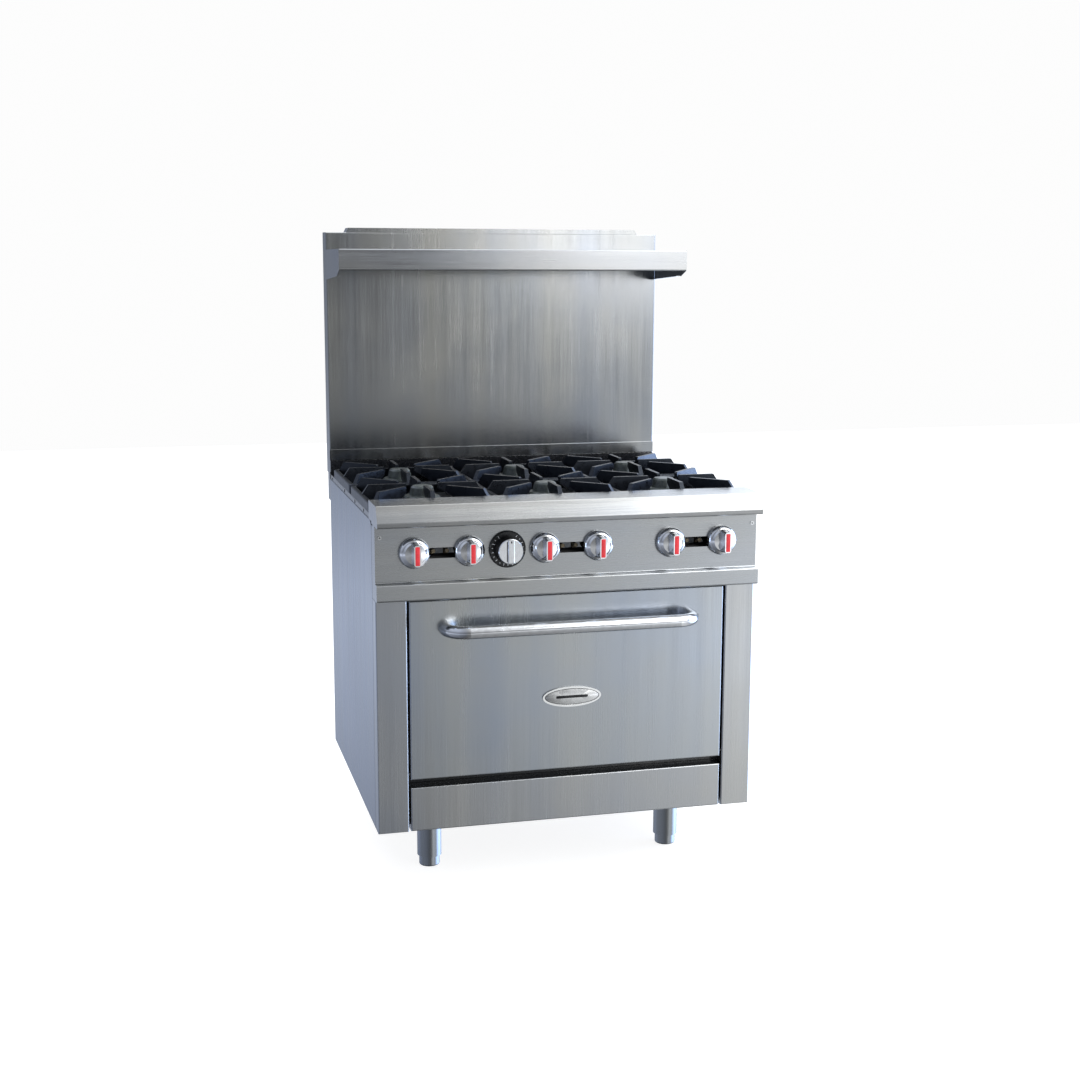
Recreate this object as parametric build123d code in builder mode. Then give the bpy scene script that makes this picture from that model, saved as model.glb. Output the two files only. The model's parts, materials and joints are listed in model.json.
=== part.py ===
"""Commercial gas range, 36 inches wide: six open burners over one oven, with a backguard and a high shelf.

Millimetres. X runs to the right, Y to the back and Z up. The origin is on the floor under the middle of
the overall box. Every piece is written to its own STEP file in parts/.
"""

from build123d import *
import os

# ---------------------------------------------------------------- driving dimensions
WIDTH = 914.4                     # overall width, 36 inches
HALF = WIDTH / 2
FACE_Y = -380.0                   # front face of the door, the stiles and the kick panel
REAR_Y = 391.0                    # rear face of the body
BACK_Y = 450.0                    # rear face of the backguard
LEG_TOP = 152.0                   # 6 inch legs
KICK_TOP = 257.0
DOOR_BOTTOM, DOOR_TOP = 276.0, 699.0
RAIL_BOTTOM, RAIL_TOP = 704.0, 744.0
PANEL_TOP = 875.0
SIDE_TOP = 880.0
SEAT_Z = 893.0                    # the grates rest here
LEDGE_TOP = 924.0
GRATE_TOP = 937.0
BACKGUARD_TOP = 1534.0
OVERALL_TOP = 1546.0

SHEET = 1.5                       # stainless sheet
LINER = 1.2                       # enamelled and aluminised sheet
BEND = 3.0                        # outside radius of a folded edge
INNER = HALF - SHEET              # inner face of the side panels
STILE_X = 385.0                   # inner edge of a stile
DOOR_HALF = 380.0
RETURN_Y = -340.0                 # rear end of the folds behind the front faces

COLUMN_PITCH = 304.8              # burner columns, 12 inches apart
COLUMNS = (-COLUMN_PITCH, 0.0, COLUMN_PITCH)
ROW_FRONT, ROW_REAR = -148.0, 172.0
KNOB_OFFSET = 63.5                # a knob stands this far either side of its column
KNOB_Z = 812.0
PANEL_Y = -386.0                  # face of the control panel
THERMOSTAT_X = -152.4
FIT = 0.05                        # radial clearance of a running fit
CLEAR = 0.5                       # radial clearance of a loose hole

LEG_X = 305.0
LEG_YS = (-202.0, 291.0)

os.makedirs("parts", exist_ok=True)


# ---------------------------------------------------------------- helpers
def finish(piece, label):
    """Labels a finished piece and writes it to its own file."""
    piece.part.label = label
    export_step(piece.part, f"parts/{label}.step")


def block(low, high, mode=Mode.ADD):
    """A box between two opposite corners, inside the current part."""
    size = [b - a for a, b in zip(low, high)]
    middle = tuple((a + b) / 2 for a, b in zip(low, high))
    with Locations(middle):
        return Box(*size, mode=mode)


def rod_x(y, z, x_start, x_end, radius, mode=Mode.ADD):
    """A round rod along X."""
    with Locations(((x_start + x_end) / 2, y, z)):
        return Cylinder(radius, x_end - x_start, rotation=(0, 90, 0), mode=mode)


def rod_y(x, z, y_start, y_end, radius, mode=Mode.ADD):
    """A round rod along Y."""
    with Locations((x, (y_start + y_end) / 2, z)):
        return Cylinder(radius, y_end - y_start, rotation=(90, 0, 0), mode=mode)


def rod_z(x, y, z_start, z_end, radius, mode=Mode.ADD):
    """A round rod along Z."""
    with Locations((x, y, (z_start + z_end) / 2)):
        return Cylinder(radius, z_end - z_start, mode=mode)


def bent_sheet(points, radii, side=Side.LEFT, thickness=SHEET):
    """The section of a bent sheet, inside the current sketch: its outer line, thickened to one side."""
    with BuildLine() as outline:
        FilletPolyline(*points, radius=radii)
        offset(amount=thickness, side=side)
    return make_face(outline.edges())


def tube_along(points, bend, outer, inner=0.0):
    """A round tube along straight runs joined by arcs, inside the current part."""
    with BuildLine() as path:
        FilletPolyline(*points, radius=bend)
    with BuildSketch(Plane(origin=path.line @ 0, z_dir=path.line % 0)) as section:
        Circle(outer)
        if inner:
            Circle(inner, mode=Mode.SUBTRACT)
    return sweep(section.sketch, path=path.line)


def pan(low, high, bend=BEND, thickness=SHEET):
    """A folded pan with its front face at low Y and its back open."""
    block(low, high)
    front = faces().sort_by(Axis.Y)[0]
    fillet(front.edges(), bend)
    offset(amount=-thickness, openings=faces().sort_by(Axis.Y)[-1])


# ---------------------------------------------------------------- body casing
SIDE_FRONT = FACE_Y + 42          # the side panels start just behind the front folds
SIDE_CORNER = 22.0                # rounded top front corner
SIDE_FLANGE = 12.0
INLET_RADIUS = 13.335             # 3/4 inch pipe
INLET_X, INLET_Z = 430.0, 788.0
INLET_END = 441.0
INLET_COLLAR = 406.0              # the threaded stub of the inlet starts here
FLUE_HALF = 101.5
FLUE_LOW, FLUE_HIGH = 800.0, 860.0
SCREW_SHANK = 2.0
SCREW_HEAD = 4.5
RAIL_SCREW_YS = (358.0, 121.0, -66.0, -207.0)
RAIL_SCREW_Z = 886.5
PANEL_SCREW = (446.0, 849.0)

with BuildPart() as side_panel_left:
    block((-HALF, SIDE_FRONT, LEG_TOP), (-INNER, REAR_Y, SIDE_TOP))
    top_front = side_panel_left.edges().filter_by(Axis.X).group_by(Axis.Z)[-1].sort_by(Axis.Y)[0]
    fillet(top_front, SIDE_CORNER)
    block((-INNER, SIDE_FRONT, LEG_TOP), (-INNER + SIDE_FLANGE, REAR_Y, LEG_TOP + SHEET))
    block(
        (-INNER, SIDE_FRONT, LEG_TOP + SHEET),
        (-INNER + SIDE_FLANGE, SIDE_FRONT + SHEET, SIDE_TOP - 2 * SIDE_CORNER),
    )
    block(
        (-INNER, REAR_Y - 2 * SHEET, LEG_TOP + SHEET),
        (-INNER + SIDE_FLANGE, REAR_Y - SHEET, SIDE_TOP - SIDE_FLANGE),
    )
finish(side_panel_left, "side_panel_left")

with BuildPart() as side_panel_right:
    mirror(side_panel_left.part, about=Plane.YZ)
finish(side_panel_right, "side_panel_right")

VENT_PITCH, VENT_WIDTH, VENT_HEIGHT = 60.0, 40.0, 5.0
VENT_ROWS = (225.0, 245.0, 265.0)
REAR_SCREW_X = 425.0
REAR_SCREW_ZS = (200.0, 420.0, 640.0)

with BuildPart() as rear_panel:
    block((-INNER, REAR_Y - SHEET, LEG_TOP + SHEET), (INNER, REAR_Y, SEAT_Z))
    rod_y(INLET_X, INLET_Z, REAR_Y - 2 * SHEET, REAR_Y + SHEET, INLET_RADIUS + 4, mode=Mode.SUBTRACT)
    block(
        (-FLUE_HALF - CLEAR, REAR_Y - 2 * SHEET, FLUE_LOW - CLEAR),
        (FLUE_HALF + CLEAR, REAR_Y + SHEET, FLUE_HIGH + CLEAR),
        mode=Mode.SUBTRACT,
    )
    for vent_z in VENT_ROWS:
        with Locations((0, REAR_Y, vent_z)), GridLocations(VENT_PITCH, 1, 8, 1):
            Box(VENT_WIDTH, 4 * SHEET, VENT_HEIGHT, mode=Mode.SUBTRACT)
    for screw_x in (-REAR_SCREW_X, REAR_SCREW_X):
        for screw_z in REAR_SCREW_ZS:
            rod_y(screw_x, screw_z, REAR_Y - 9, REAR_Y + 1, SCREW_SHANK + CLEAR, mode=Mode.SUBTRACT)
finish(rear_panel, "rear_panel")

# ---------------------------------------------------------------- base frame, legs and feet
FRAME_HEIGHT, FRAME_WIDTH, FRAME_WALL = 30.0, 40.0, 2.0
CROSS_WIDTH = 74.0
FRAME_FRONT = SIDE_FRONT + SHEET
LEG_RADIUS, LEG_BORE = 30.0, 28.5
FOOT_RADIUS, FOOT_HEIGHT = 25.5, 26.0
STUD_RADIUS, STUD_TOP = 8.0, 175.0
STEM_RADIUS, STEM_TOP = 10.0, 84.0
LEG_FLOOR = 12.0                  # thick threaded end of a leg tube

with BuildPart() as base_frame:
    with BuildSketch(Plane.XY.offset(LEG_TOP + SHEET)):
        with Locations((0, (FRAME_FRONT + REAR_Y - SHEET) / 2)):
            Rectangle(2 * INNER, REAR_Y - SHEET - FRAME_FRONT - 2 * SHEET)
            Rectangle(
                2 * (INNER - FRAME_WIDTH),
                REAR_Y - FRAME_FRONT - 2 * FRAME_WIDTH,
                mode=Mode.SUBTRACT,
            )
    extrude(amount=FRAME_HEIGHT)
    for leg_y in LEG_YS:
        block(
            (-INNER + FRAME_WIDTH, leg_y - CROSS_WIDTH / 2, LEG_TOP),
            (INNER - FRAME_WIDTH, leg_y + CROSS_WIDTH / 2, LEG_TOP + FRAME_HEIGHT),
        )
        block(
            (-INNER + FRAME_WIDTH - FRAME_WALL, leg_y - CROSS_WIDTH / 2 + FRAME_WALL, LEG_TOP + FRAME_WALL),
            (INNER - FRAME_WIDTH + FRAME_WALL, leg_y + CROSS_WIDTH / 2 - FRAME_WALL, LEG_TOP + 2 * FRAME_HEIGHT),
            mode=Mode.SUBTRACT,
        )
        for leg_x in (-LEG_X, LEG_X):
            rod_z(leg_x, leg_y, LEG_TOP - 1, LEG_TOP + 3 * FRAME_WALL, STUD_RADIUS + FIT, mode=Mode.SUBTRACT)
finish(base_frame, "base_frame")

with BuildPart() as leg_tubes:
    for leg_x in (-LEG_X, LEG_X):
        for leg_y in LEG_YS:
            rod_z(leg_x, leg_y, FOOT_HEIGHT, LEG_TOP, LEG_RADIUS)
            rod_z(leg_x, leg_y, FOOT_HEIGHT + LEG_FLOOR, LEG_TOP - LEG_FLOOR, LEG_BORE, mode=Mode.SUBTRACT)
            rod_z(
                leg_x, leg_y, FOOT_HEIGHT - 1, FOOT_HEIGHT + 2 * LEG_FLOOR, STEM_RADIUS + FIT, mode=Mode.SUBTRACT
            )
            rod_z(leg_x, leg_y, LEG_TOP, STUD_TOP, STUD_RADIUS)
finish(leg_tubes, "leg_tubes")

FOOT_NAMES = {
    "foot_front_left": (-LEG_X, LEG_YS[0]),
    "foot_front_right": (LEG_X, LEG_YS[0]),
    "foot_rear_left": (-LEG_X, LEG_YS[1]),
    "foot_rear_right": (LEG_X, LEG_YS[1]),
}
for foot_name, (foot_x, foot_y) in FOOT_NAMES.items():
    with BuildPart() as foot:
        rod_z(foot_x, foot_y, 0, FOOT_HEIGHT, FOOT_RADIUS)
        fillet(foot.edges().sort_by(Axis.Z)[0], 4)
        chamfer(foot.edges().sort_by(Axis.Z)[-1], 1.5)
        rod_z(foot_x, foot_y, FOOT_HEIGHT, STEM_TOP, STEM_RADIUS)
    finish(foot, foot_name)

# ---------------------------------------------------------------- front: stiles and kick panel
HINGE_Y, HINGE_Z = -359.0, 284.0
HINGE_RADIUS = 4.0

with BuildPart() as front_stile_left:
    with BuildSketch(Plane.XY.offset(LEG_TOP)):
        bent_sheet(
            [(-HALF, RETURN_Y), (-HALF, FACE_Y), (-STILE_X, FACE_Y), (-STILE_X, RETURN_Y)],
            BEND,
        )
    extrude(amount=RAIL_BOTTOM - 1 - LEG_TOP)
    rod_x(HINGE_Y, HINGE_Z, -STILE_X - 2 * SHEET, -STILE_X + SHEET, HINGE_RADIUS + CLEAR, mode=Mode.SUBTRACT)
finish(front_stile_left, "front_stile_left")

with BuildPart() as front_stile_right:
    mirror(front_stile_left.part, about=Plane.YZ)
finish(front_stile_right, "front_stile_right")

with BuildPart() as kick_panel:
    pan((-DOOR_HALF, FACE_Y, LEG_TOP), (DOOR_HALF, RETURN_Y - 2, KICK_TOP))
finish(kick_panel, "kick_panel")

# ---------------------------------------------------------------- control panel and ledge
RAIL_Y = -405.0
STEM_HOLE = 6.0
SLOT_WIDTH, SLOT_HEIGHT, SLOT_Z = 70.0, 24.5, 809.5
LEDGE_BACK = -302.0
LEDGE_FRONT, LEDGE_NOSE = -408.0, -427.0
NOSE_Z = 887.0
KNOB_XS = [column + side * KNOB_OFFSET for column in COLUMNS for side in (-1, 1)]

PANEL_LINE = [
    (PANEL_Y + 26, PANEL_TOP),
    (PANEL_Y, PANEL_TOP),
    (PANEL_Y, RAIL_TOP),
    (RAIL_Y, RAIL_TOP),
    (RAIL_Y, RAIL_BOTTOM),
    (RETURN_Y, RAIL_BOTTOM),
]

with BuildPart() as control_panel:
    with BuildSketch(Plane.YZ.offset(-HALF)):
        bent_sheet(PANEL_LINE, [2.5, 3.0, 4.5, 4.5])
    extrude(amount=WIDTH)
    for end_x in (-HALF, INNER):
        with BuildSketch(Plane.YZ.offset(end_x)):
            with BuildLine():
                Polyline((RETURN_Y, PANEL_TOP - SHEET), *PANEL_LINE[1:], close=True)
            make_face()
            offset(amount=-SHEET / 2)
        extrude(amount=SHEET)
    for hole_x in (*KNOB_XS, THERMOSTAT_X):
        rod_y(hole_x, KNOB_Z, PANEL_Y - 4, PANEL_Y + 4, STEM_HOLE, mode=Mode.SUBTRACT)
    for column in COLUMNS:
        with BuildSketch(Plane.XZ.offset(-PANEL_Y + 4)):
            with Locations((column, SLOT_Z)):
                RectangleRounded(SLOT_WIDTH, SLOT_HEIGHT, 2.0)
        extrude(amount=-8, mode=Mode.SUBTRACT)
    for screw_x in (-PANEL_SCREW[0], PANEL_SCREW[0]):
        rod_y(screw_x, PANEL_SCREW[1], PANEL_Y - 4, PANEL_Y + 4, SCREW_SHANK + CLEAR, mode=Mode.SUBTRACT)
finish(control_panel, "control_panel")

LEDGE_LINE = [
    (LEDGE_BACK, SEAT_Z + 3),
    (LEDGE_BACK, LEDGE_TOP),
    (LEDGE_FRONT, LEDGE_TOP),
    (LEDGE_NOSE, NOSE_Z),
    (LEDGE_NOSE + 2, PANEL_TOP),
    (LEDGE_NOSE + 65, PANEL_TOP),
]

with BuildPart() as front_ledge:
    with BuildSketch(Plane.YZ.offset(-HALF)):
        bent_sheet(LEDGE_LINE, [2.0, 3.0, 5.0, 5.0])
    extrude(amount=WIDTH)
    for end_x in (-HALF, INNER):
        with BuildSketch(Plane.YZ.offset(end_x)):
            with BuildLine():
                Polyline(
                    (LEDGE_BACK, SIDE_TOP + CLEAR),
                    *LEDGE_LINE[1:5],
                    (RETURN_Y, PANEL_TOP),
                    (RETURN_Y, SIDE_TOP + CLEAR),
                    close=True,
                )
            make_face()
            fillet(vertices().group_by(Axis.Y)[0], 3)
        extrude(amount=SHEET)
finish(front_ledge, "front_ledge")

# ---------------------------------------------------------------- cooking top
TOP_FRONT, TOP_REAR = LEDGE_BACK, REAR_Y - 3
TOP_HEIGHT = 31.0
RAIL_INNER = 437.0
WELL_FRONT, WELL_REAR = -288.0, 322.0
TOP_WALL = 2.0
UPSTAND_TOP = 929.0

with BuildPart() as top_frame:
    with BuildSketch(Plane.XY.offset(SEAT_Z - TOP_HEIGHT)):
        with Locations((0, (TOP_FRONT + TOP_REAR) / 2)):
            Rectangle(2 * INNER, TOP_REAR - TOP_FRONT)
        with Locations((0, (WELL_FRONT + WELL_REAR) / 2)):
            Rectangle(2 * RAIL_INNER, WELL_REAR - WELL_FRONT, mode=Mode.SUBTRACT)
    extrude(amount=TOP_HEIGHT)
    underside = top_frame.faces().sort_by(Axis.Z)[0]
    offset(amount=-TOP_WALL, openings=underside)
    block((-INNER, TOP_REAR - TOP_WALL, SEAT_Z), (INNER, TOP_REAR, UPSTAND_TOP))
    for side in (-1, 1):
        for screw_y in RAIL_SCREW_YS:
            start, end = sorted((side * (INNER - 2 * TOP_WALL), side * (INNER + 1)))
            rod_x(screw_y, RAIL_SCREW_Z, start, end, SCREW_SHANK + CLEAR, mode=Mode.SUBTRACT)
finish(top_frame, "top_frame")

SUPPORT_HEIGHT = 28.0
SUPPORT_WIDTH, DIVIDER_WIDTH = 22.0, 14.0
ROW_MIDDLE = (ROW_FRONT + ROW_REAR) / 2

with BuildPart() as grate_supports:
    with BuildSketch(Plane.XY.offset(SEAT_Z - SUPPORT_HEIGHT)):
        with Locations((0, (WELL_FRONT + WELL_REAR) / 2)), GridLocations(COLUMN_PITCH, 1, 2, 1):
            Rectangle(SUPPORT_WIDTH, WELL_REAR - WELL_FRONT)
        with Locations((0, ROW_MIDDLE)):
            Rectangle(2 * RAIL_INNER, DIVIDER_WIDTH)
    extrude(amount=SUPPORT_HEIGHT)
    underside = grate_supports.faces().sort_by(Axis.Z)[0]
    offset(amount=-LINER, openings=underside)
finish(grate_supports, "grate_supports")

TRAY_BOTTOM, TRAY_RIM = 735.0, 770.0
TRAY_HALF, TRAY_FRONT, TRAY_REAR = 408.0, -290.0, 318.0

with BuildPart() as drip_tray:
    block((-TRAY_HALF, TRAY_FRONT, TRAY_BOTTOM), (TRAY_HALF, TRAY_REAR, TRAY_RIM))
    offset(amount=-LINER, openings=drip_tray.faces().sort_by(Axis.Z)[-1])
    for start_x, end_x in ((-INNER, -TRAY_HALF), (TRAY_HALF, INNER)):
        block((start_x, TRAY_FRONT, TRAY_RIM - LINER), (end_x, TRAY_REAR, TRAY_RIM))
finish(drip_tray, "drip_tray")

# ---------------------------------------------------------------- grates
GRATE_HALF_X, GRATE_HALF_Y, GRATE_CORNER = 151.5, 152.0, 14.0
BAR_WIDTH, BAR_TOP, BAR_EDGE = 13.0, 915.0, 2.0
FIN_BOTTOM, TIP_BOTTOM = SEAT_Z, 921.0
FIN_WIDTH, TIP_WIDTH = 14.0, 11.0  # across a fin's foot, at its outer end and at its tip
TOP_SHARE = 0.7                   # width of a fin's flat top, as a share of its foot
TIP_EDGE = 3.0                    # bevel round a fin's tip
OUTER_SLOPE = 18.0                # how far a fin's outer end leans inwards
BAR_BITE = 4.0                    # how deep the sloping end runs into the bar


def fin(outer, tip, foot_reach):
    """One finger along +X: a rib with drafted flanks, its outer end sloping and its tip undercut."""
    with BuildPart() as wedge:
        for reach, width in ((outer, FIN_WIDTH), (tip, TIP_WIDTH)):
            with BuildSketch(Plane.YZ.offset(reach)):
                with BuildLine():
                    Polyline(
                        (-width / 2, FIN_BOTTOM),
                        (width / 2, FIN_BOTTOM),
                        (TOP_SHARE * width / 2, GRATE_TOP),
                        (-TOP_SHARE * width / 2, GRATE_TOP),
                        close=True,
                    )
                make_face()
        loft()
        with BuildSketch(Plane.XZ.offset(-FIN_WIDTH)):
            with BuildLine():
                Polyline(
                    (outer, FIN_BOTTOM),
                    (foot_reach, FIN_BOTTOM),
                    (tip + 2 * TIP_EDGE, TIP_BOTTOM),
                    (tip, TIP_BOTTOM + TIP_EDGE),
                    (tip, GRATE_TOP - TIP_EDGE),
                    (tip + TIP_EDGE, GRATE_TOP),
                    (outer - OUTER_SLOPE, GRATE_TOP),
                    (outer, BAR_TOP - BAR_BITE),
                    close=True,
                )
            make_face()
        extrude(amount=2 * FIN_WIDTH, mode=Mode.INTERSECT)
    return wedge.part


SIDE_FIN = fin(outer=148.0, tip=38.0, foot_reach=92.0)
CORNER_FIN = fin(outer=194.0, tip=70.0, foot_reach=118.0)

with BuildPart() as grate_pattern:
    with BuildSketch(Plane.XY.offset(SEAT_Z)):
        RectangleRounded(2 * GRATE_HALF_X, 2 * GRATE_HALF_Y, GRATE_CORNER)
        RectangleRounded(
            2 * (GRATE_HALF_X - BAR_WIDTH), 2 * (GRATE_HALF_Y - BAR_WIDTH), GRATE_CORNER / 2, mode=Mode.SUBTRACT
        )
    extrude(amount=BAR_TOP - SEAT_Z)
    chamfer(grate_pattern.edges().group_by(Axis.Z)[-1], BAR_EDGE)
    with PolarLocations(0, 4):
        add(SIDE_FIN)
    with PolarLocations(0, 4, start_angle=45):
        add(CORNER_FIN)

for row_name, row_y in (("front", ROW_FRONT), ("rear", ROW_REAR)):
    for side_name, column in zip(("left", "middle", "right"), COLUMNS):
        with BuildPart() as grate:
            with Locations((column, row_y, 0)):
                add(grate_pattern.part)
        finish(grate, f"grate_{row_name}_{side_name}")

# ---------------------------------------------------------------- burners and gas train
TUBE_RADIUS, TUBE_BORE = 17.0, 13.5
HEAD_BASE, HEAD_TOP = 872.0, 931.0
HEAD_RADIUS, CAP_RADIUS = 44.0, 27.0
HEAD_WALL, HEAD_EDGE = 7.0, 4.0
PORT_Z = 896.0
PORT_WIDTH, PORT_HEIGHT = 2.4, 5.0
MANIFOLD_Y = -345.0
SPUD_END = -318.0
BELL_START = -316.0
VALVE_BORE_END = -350.0
STEM_R = 4.0
VALVE_BOTTOM = INLET_Z + INLET_RADIUS + FIT
PORTS = 24

with BuildPart() as burner_heads:
    for row_y in (ROW_FRONT, ROW_REAR):
        for column in COLUMNS:
            with BuildSketch(Plane(origin=(column, row_y, 0), x_dir=(1, 0, 0), z_dir=(0, -1, 0))) as half_section:
                with BuildLine():
                    Polyline(
                        (TUBE_BORE, HEAD_BASE),
                        (TUBE_RADIUS + HEAD_EDGE, HEAD_BASE),
                        (HEAD_RADIUS - HEAD_EDGE, PORT_Z - 2 * HEAD_EDGE),
                        (HEAD_RADIUS, PORT_Z - HEAD_EDGE),
                        (HEAD_RADIUS, PORT_Z + 2 * HEAD_EDGE),
                        (HEAD_RADIUS - HEAD_EDGE, PORT_Z + 3 * HEAD_EDGE),
                        (CAP_RADIUS + HEAD_EDGE, PORT_Z + 3 * HEAD_EDGE + 1),
                        (CAP_RADIUS, HEAD_TOP - HEAD_EDGE),
                        (CAP_RADIUS - HEAD_EDGE, HEAD_TOP),
                        (0, HEAD_TOP),
                        (0, HEAD_TOP - HEAD_WALL),
                        (CAP_RADIUS - HEAD_WALL, HEAD_TOP - HEAD_WALL),
                        (CAP_RADIUS - HEAD_WALL, PORT_Z + HEAD_EDGE),
                        (HEAD_RADIUS - HEAD_WALL, PORT_Z + HEAD_EDGE),
                        (HEAD_RADIUS - HEAD_WALL, PORT_Z - HEAD_EDGE),
                        (TUBE_BORE, HEAD_BASE + HEAD_WALL),
                        close=True,
                    )
                make_face()
            revolve(axis=Axis((column, row_y, 0), (0, 0, 1)))
            with Locations((column, row_y, PORT_Z)), PolarLocations(HEAD_RADIUS - HEAD_WALL / 2, PORTS):
                Box(2 * HEAD_WALL, PORT_WIDTH, PORT_HEIGHT, mode=Mode.SUBTRACT)
finish(burner_heads, "burner_heads")

with BuildPart() as burner_tubes:
    for column in COLUMNS:
        for side, row_y in ((1, ROW_FRONT), (-1, ROW_REAR)):
            knob_x = column + side * KNOB_OFFSET
            tube_along(
                [
                    (knob_x, BELL_START, KNOB_Z),
                    (knob_x, row_y - 100, KNOB_Z),
                    (column, row_y, KNOB_Z),
                    (column, row_y, HEAD_BASE),
                ],
                22,
                TUBE_RADIUS,
                TUBE_BORE,
            )
            with Locations((knob_x, BELL_START + 10, KNOB_Z)):
                Cone(24, TUBE_RADIUS, 20, rotation=(-90, 0, 0))
                Cone(21, TUBE_BORE, 20, rotation=(-90, 0, 0), mode=Mode.SUBTRACT)
finish(burner_tubes, "burner_tubes")

PIPE_BORE = 10.5

with BuildPart() as gas_manifold:
    tube_along(
        [(-INLET_X, MANIFOLD_Y, INLET_Z), (INLET_X, MANIFOLD_Y, INLET_Z), (INLET_X, INLET_END, INLET_Z)],
        28,
        INLET_RADIUS,
        PIPE_BORE,
    )
    rod_x(MANIFOLD_Y, INLET_Z, -INLET_X - 6, -INLET_X, INLET_RADIUS + 2)
    rod_y(INLET_X, INLET_Z, REAR_Y + 5, INLET_COLLAR, INLET_RADIUS + 5)
    rod_y(INLET_X, INLET_Z, REAR_Y + 4, INLET_COLLAR + 1, PIPE_BORE, mode=Mode.SUBTRACT)
finish(gas_manifold, "gas_manifold")

VALVE_RADIUS = KNOB_Z - VALVE_BOTTOM

with BuildPart() as burner_valves:
    for knob_x in KNOB_XS:
        rod_y(knob_x, KNOB_Z, -372, -332, VALVE_RADIUS)
        rod_y(knob_x, KNOB_Z, -378, -372, 7.5)
        block((knob_x - 9, -356, VALVE_BOTTOM), (knob_x + 9, -334, KNOB_Z + 8))
        rod_y(knob_x, KNOB_Z, -332, -326, 8)
        rod_y(knob_x, KNOB_Z, -326, SPUD_END, 5)
        rod_y(knob_x, KNOB_Z, -380, VALVE_BORE_END, STEM_R + FIT, mode=Mode.SUBTRACT)
finish(burner_valves, "burner_valves")

PILOT_OFFSET = 16.0
PILOT_RADIUS = 2.4
PILOT_RISE = 850.0
PILOT_TOP = 893.0
PILOT_SIDE = 110.0
PILOT_GAP = 60.0                  # a pilot tip stands this far in front of its burner's centre

with BuildPart() as pilot_valves:
    for column in COLUMNS:
        for side, row_y in ((-1, ROW_FRONT), (1, ROW_REAR)):
            pilot_x = column + side * PILOT_OFFSET
            rod_z(pilot_x, MANIFOLD_Y, VALVE_BOTTOM, KNOB_Z + 6, 5.5)
            rod_y(pilot_x, KNOB_Z - 1, MANIFOLD_Y - 25, MANIFOLD_Y, 4.5)
            with Locations((pilot_x, MANIFOLD_Y - 25, KNOB_Z - 1)):
                Box(12, 2, 1.4, mode=Mode.SUBTRACT)
            start = [(pilot_x, MANIFOLD_Y, KNOB_Z - 1), (pilot_x, -322, KNOB_Z - 1), (pilot_x, -300, PILOT_RISE)]
            tip_y = row_y - PILOT_GAP
            if side > 0:
                start += [(column + PILOT_SIDE, -250, PILOT_RISE), (column + PILOT_SIDE, tip_y - 50, PILOT_RISE)]
            tube_along(start + [(pilot_x, tip_y, PILOT_RISE), (pilot_x, tip_y, PILOT_TOP)], 7, PILOT_RADIUS)
            rod_z(pilot_x, tip_y, PILOT_TOP - 8, PILOT_TOP, 4)
finish(pilot_valves, "pilot_valves")

# ---------------------------------------------------------------- knobs and thermostat
KNOB_BACK = PANEL_Y - 1           # a knob clears the panel by a millimetre
KNOB_RADIUS, KNOB_DEPTH = 35.5, 47.0
GRIP_WIDTH, GRIP_LENGTH = 20.0, 58.0
GRIP_TAPER = (0.76, 0.82)         # a grip's front, as shares of its width and length
SKIRT_EDGE, SKIRT_STEP = 5.0, 8.0
STEM_LENGTH = 33.0


def knob_body(centre_x, back_y, radius, depth, grip_width, grip_length):
    """A round skirt with a domed hub and a grip bar across it, in one with its valve stem."""
    outline = Plane(origin=(centre_x, back_y, KNOB_Z), x_dir=(1, 0, 0), z_dir=(0, 0, 1))
    with BuildSketch(outline) as half_section:
        with BuildLine():
            Polyline((0, 0), (radius, 0), (radius, -SKIRT_EDGE))
            RadiusArc((radius, -SKIRT_EDGE), (radius - SKIRT_STEP, -depth / 3), SKIRT_STEP + 3)
            Polyline((radius - SKIRT_STEP, -depth / 3), (radius - 1.5 * SKIRT_STEP, -depth * 0.4), (0, -depth * 0.45))
            Line((0, -depth * 0.45), (0, 0))
        make_face()
    revolve(half_section.sketch, axis=Axis((centre_x, 0, KNOB_Z), (0, 1, 0)))
    with BuildSketch(Plane(origin=(centre_x, back_y - depth, KNOB_Z), x_dir=(1, 0, 0), z_dir=(0, 1, 0))) as top:
        RectangleRounded(grip_width * GRIP_TAPER[0], grip_length * GRIP_TAPER[1], grip_width / 4)
    with BuildSketch(Plane(origin=(centre_x, back_y - SKIRT_EDGE, KNOB_Z), x_dir=(1, 0, 0), z_dir=(0, 1, 0))) as bottom:
        RectangleRounded(grip_width, grip_length, 0.4 * grip_width)
    loft([top.sketch, bottom.sketch])
    rod_y(centre_x, KNOB_Z, back_y, PANEL_Y - 1 + STEM_LENGTH, STEM_R)


for number, knob_x in enumerate(KNOB_XS, start=1):
    with BuildPart() as burner_knob:
        knob_body(knob_x, KNOB_BACK, KNOB_RADIUS, KNOB_DEPTH, GRIP_WIDTH, GRIP_LENGTH)
    finish(burner_knob, f"burner_knob_{number}")

BEZEL_RADIUS, BEZEL_DEPTH = 43.0, 6.0
DIAL_BACK = PANEL_Y - BEZEL_DEPTH - CLEAR
DIAL_FOOT, DIAL_NECK, DIAL_RADIUS = 31.0, 26.5, 29.0
DIAL_RIM, DIAL_FACE, DIAL_EDGE = 28.0, 34.0, 1.5
BAND_HALF_X, BAND_HALF_Z, BAND_RISE = 7.5, 26.0, 4.0

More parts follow.
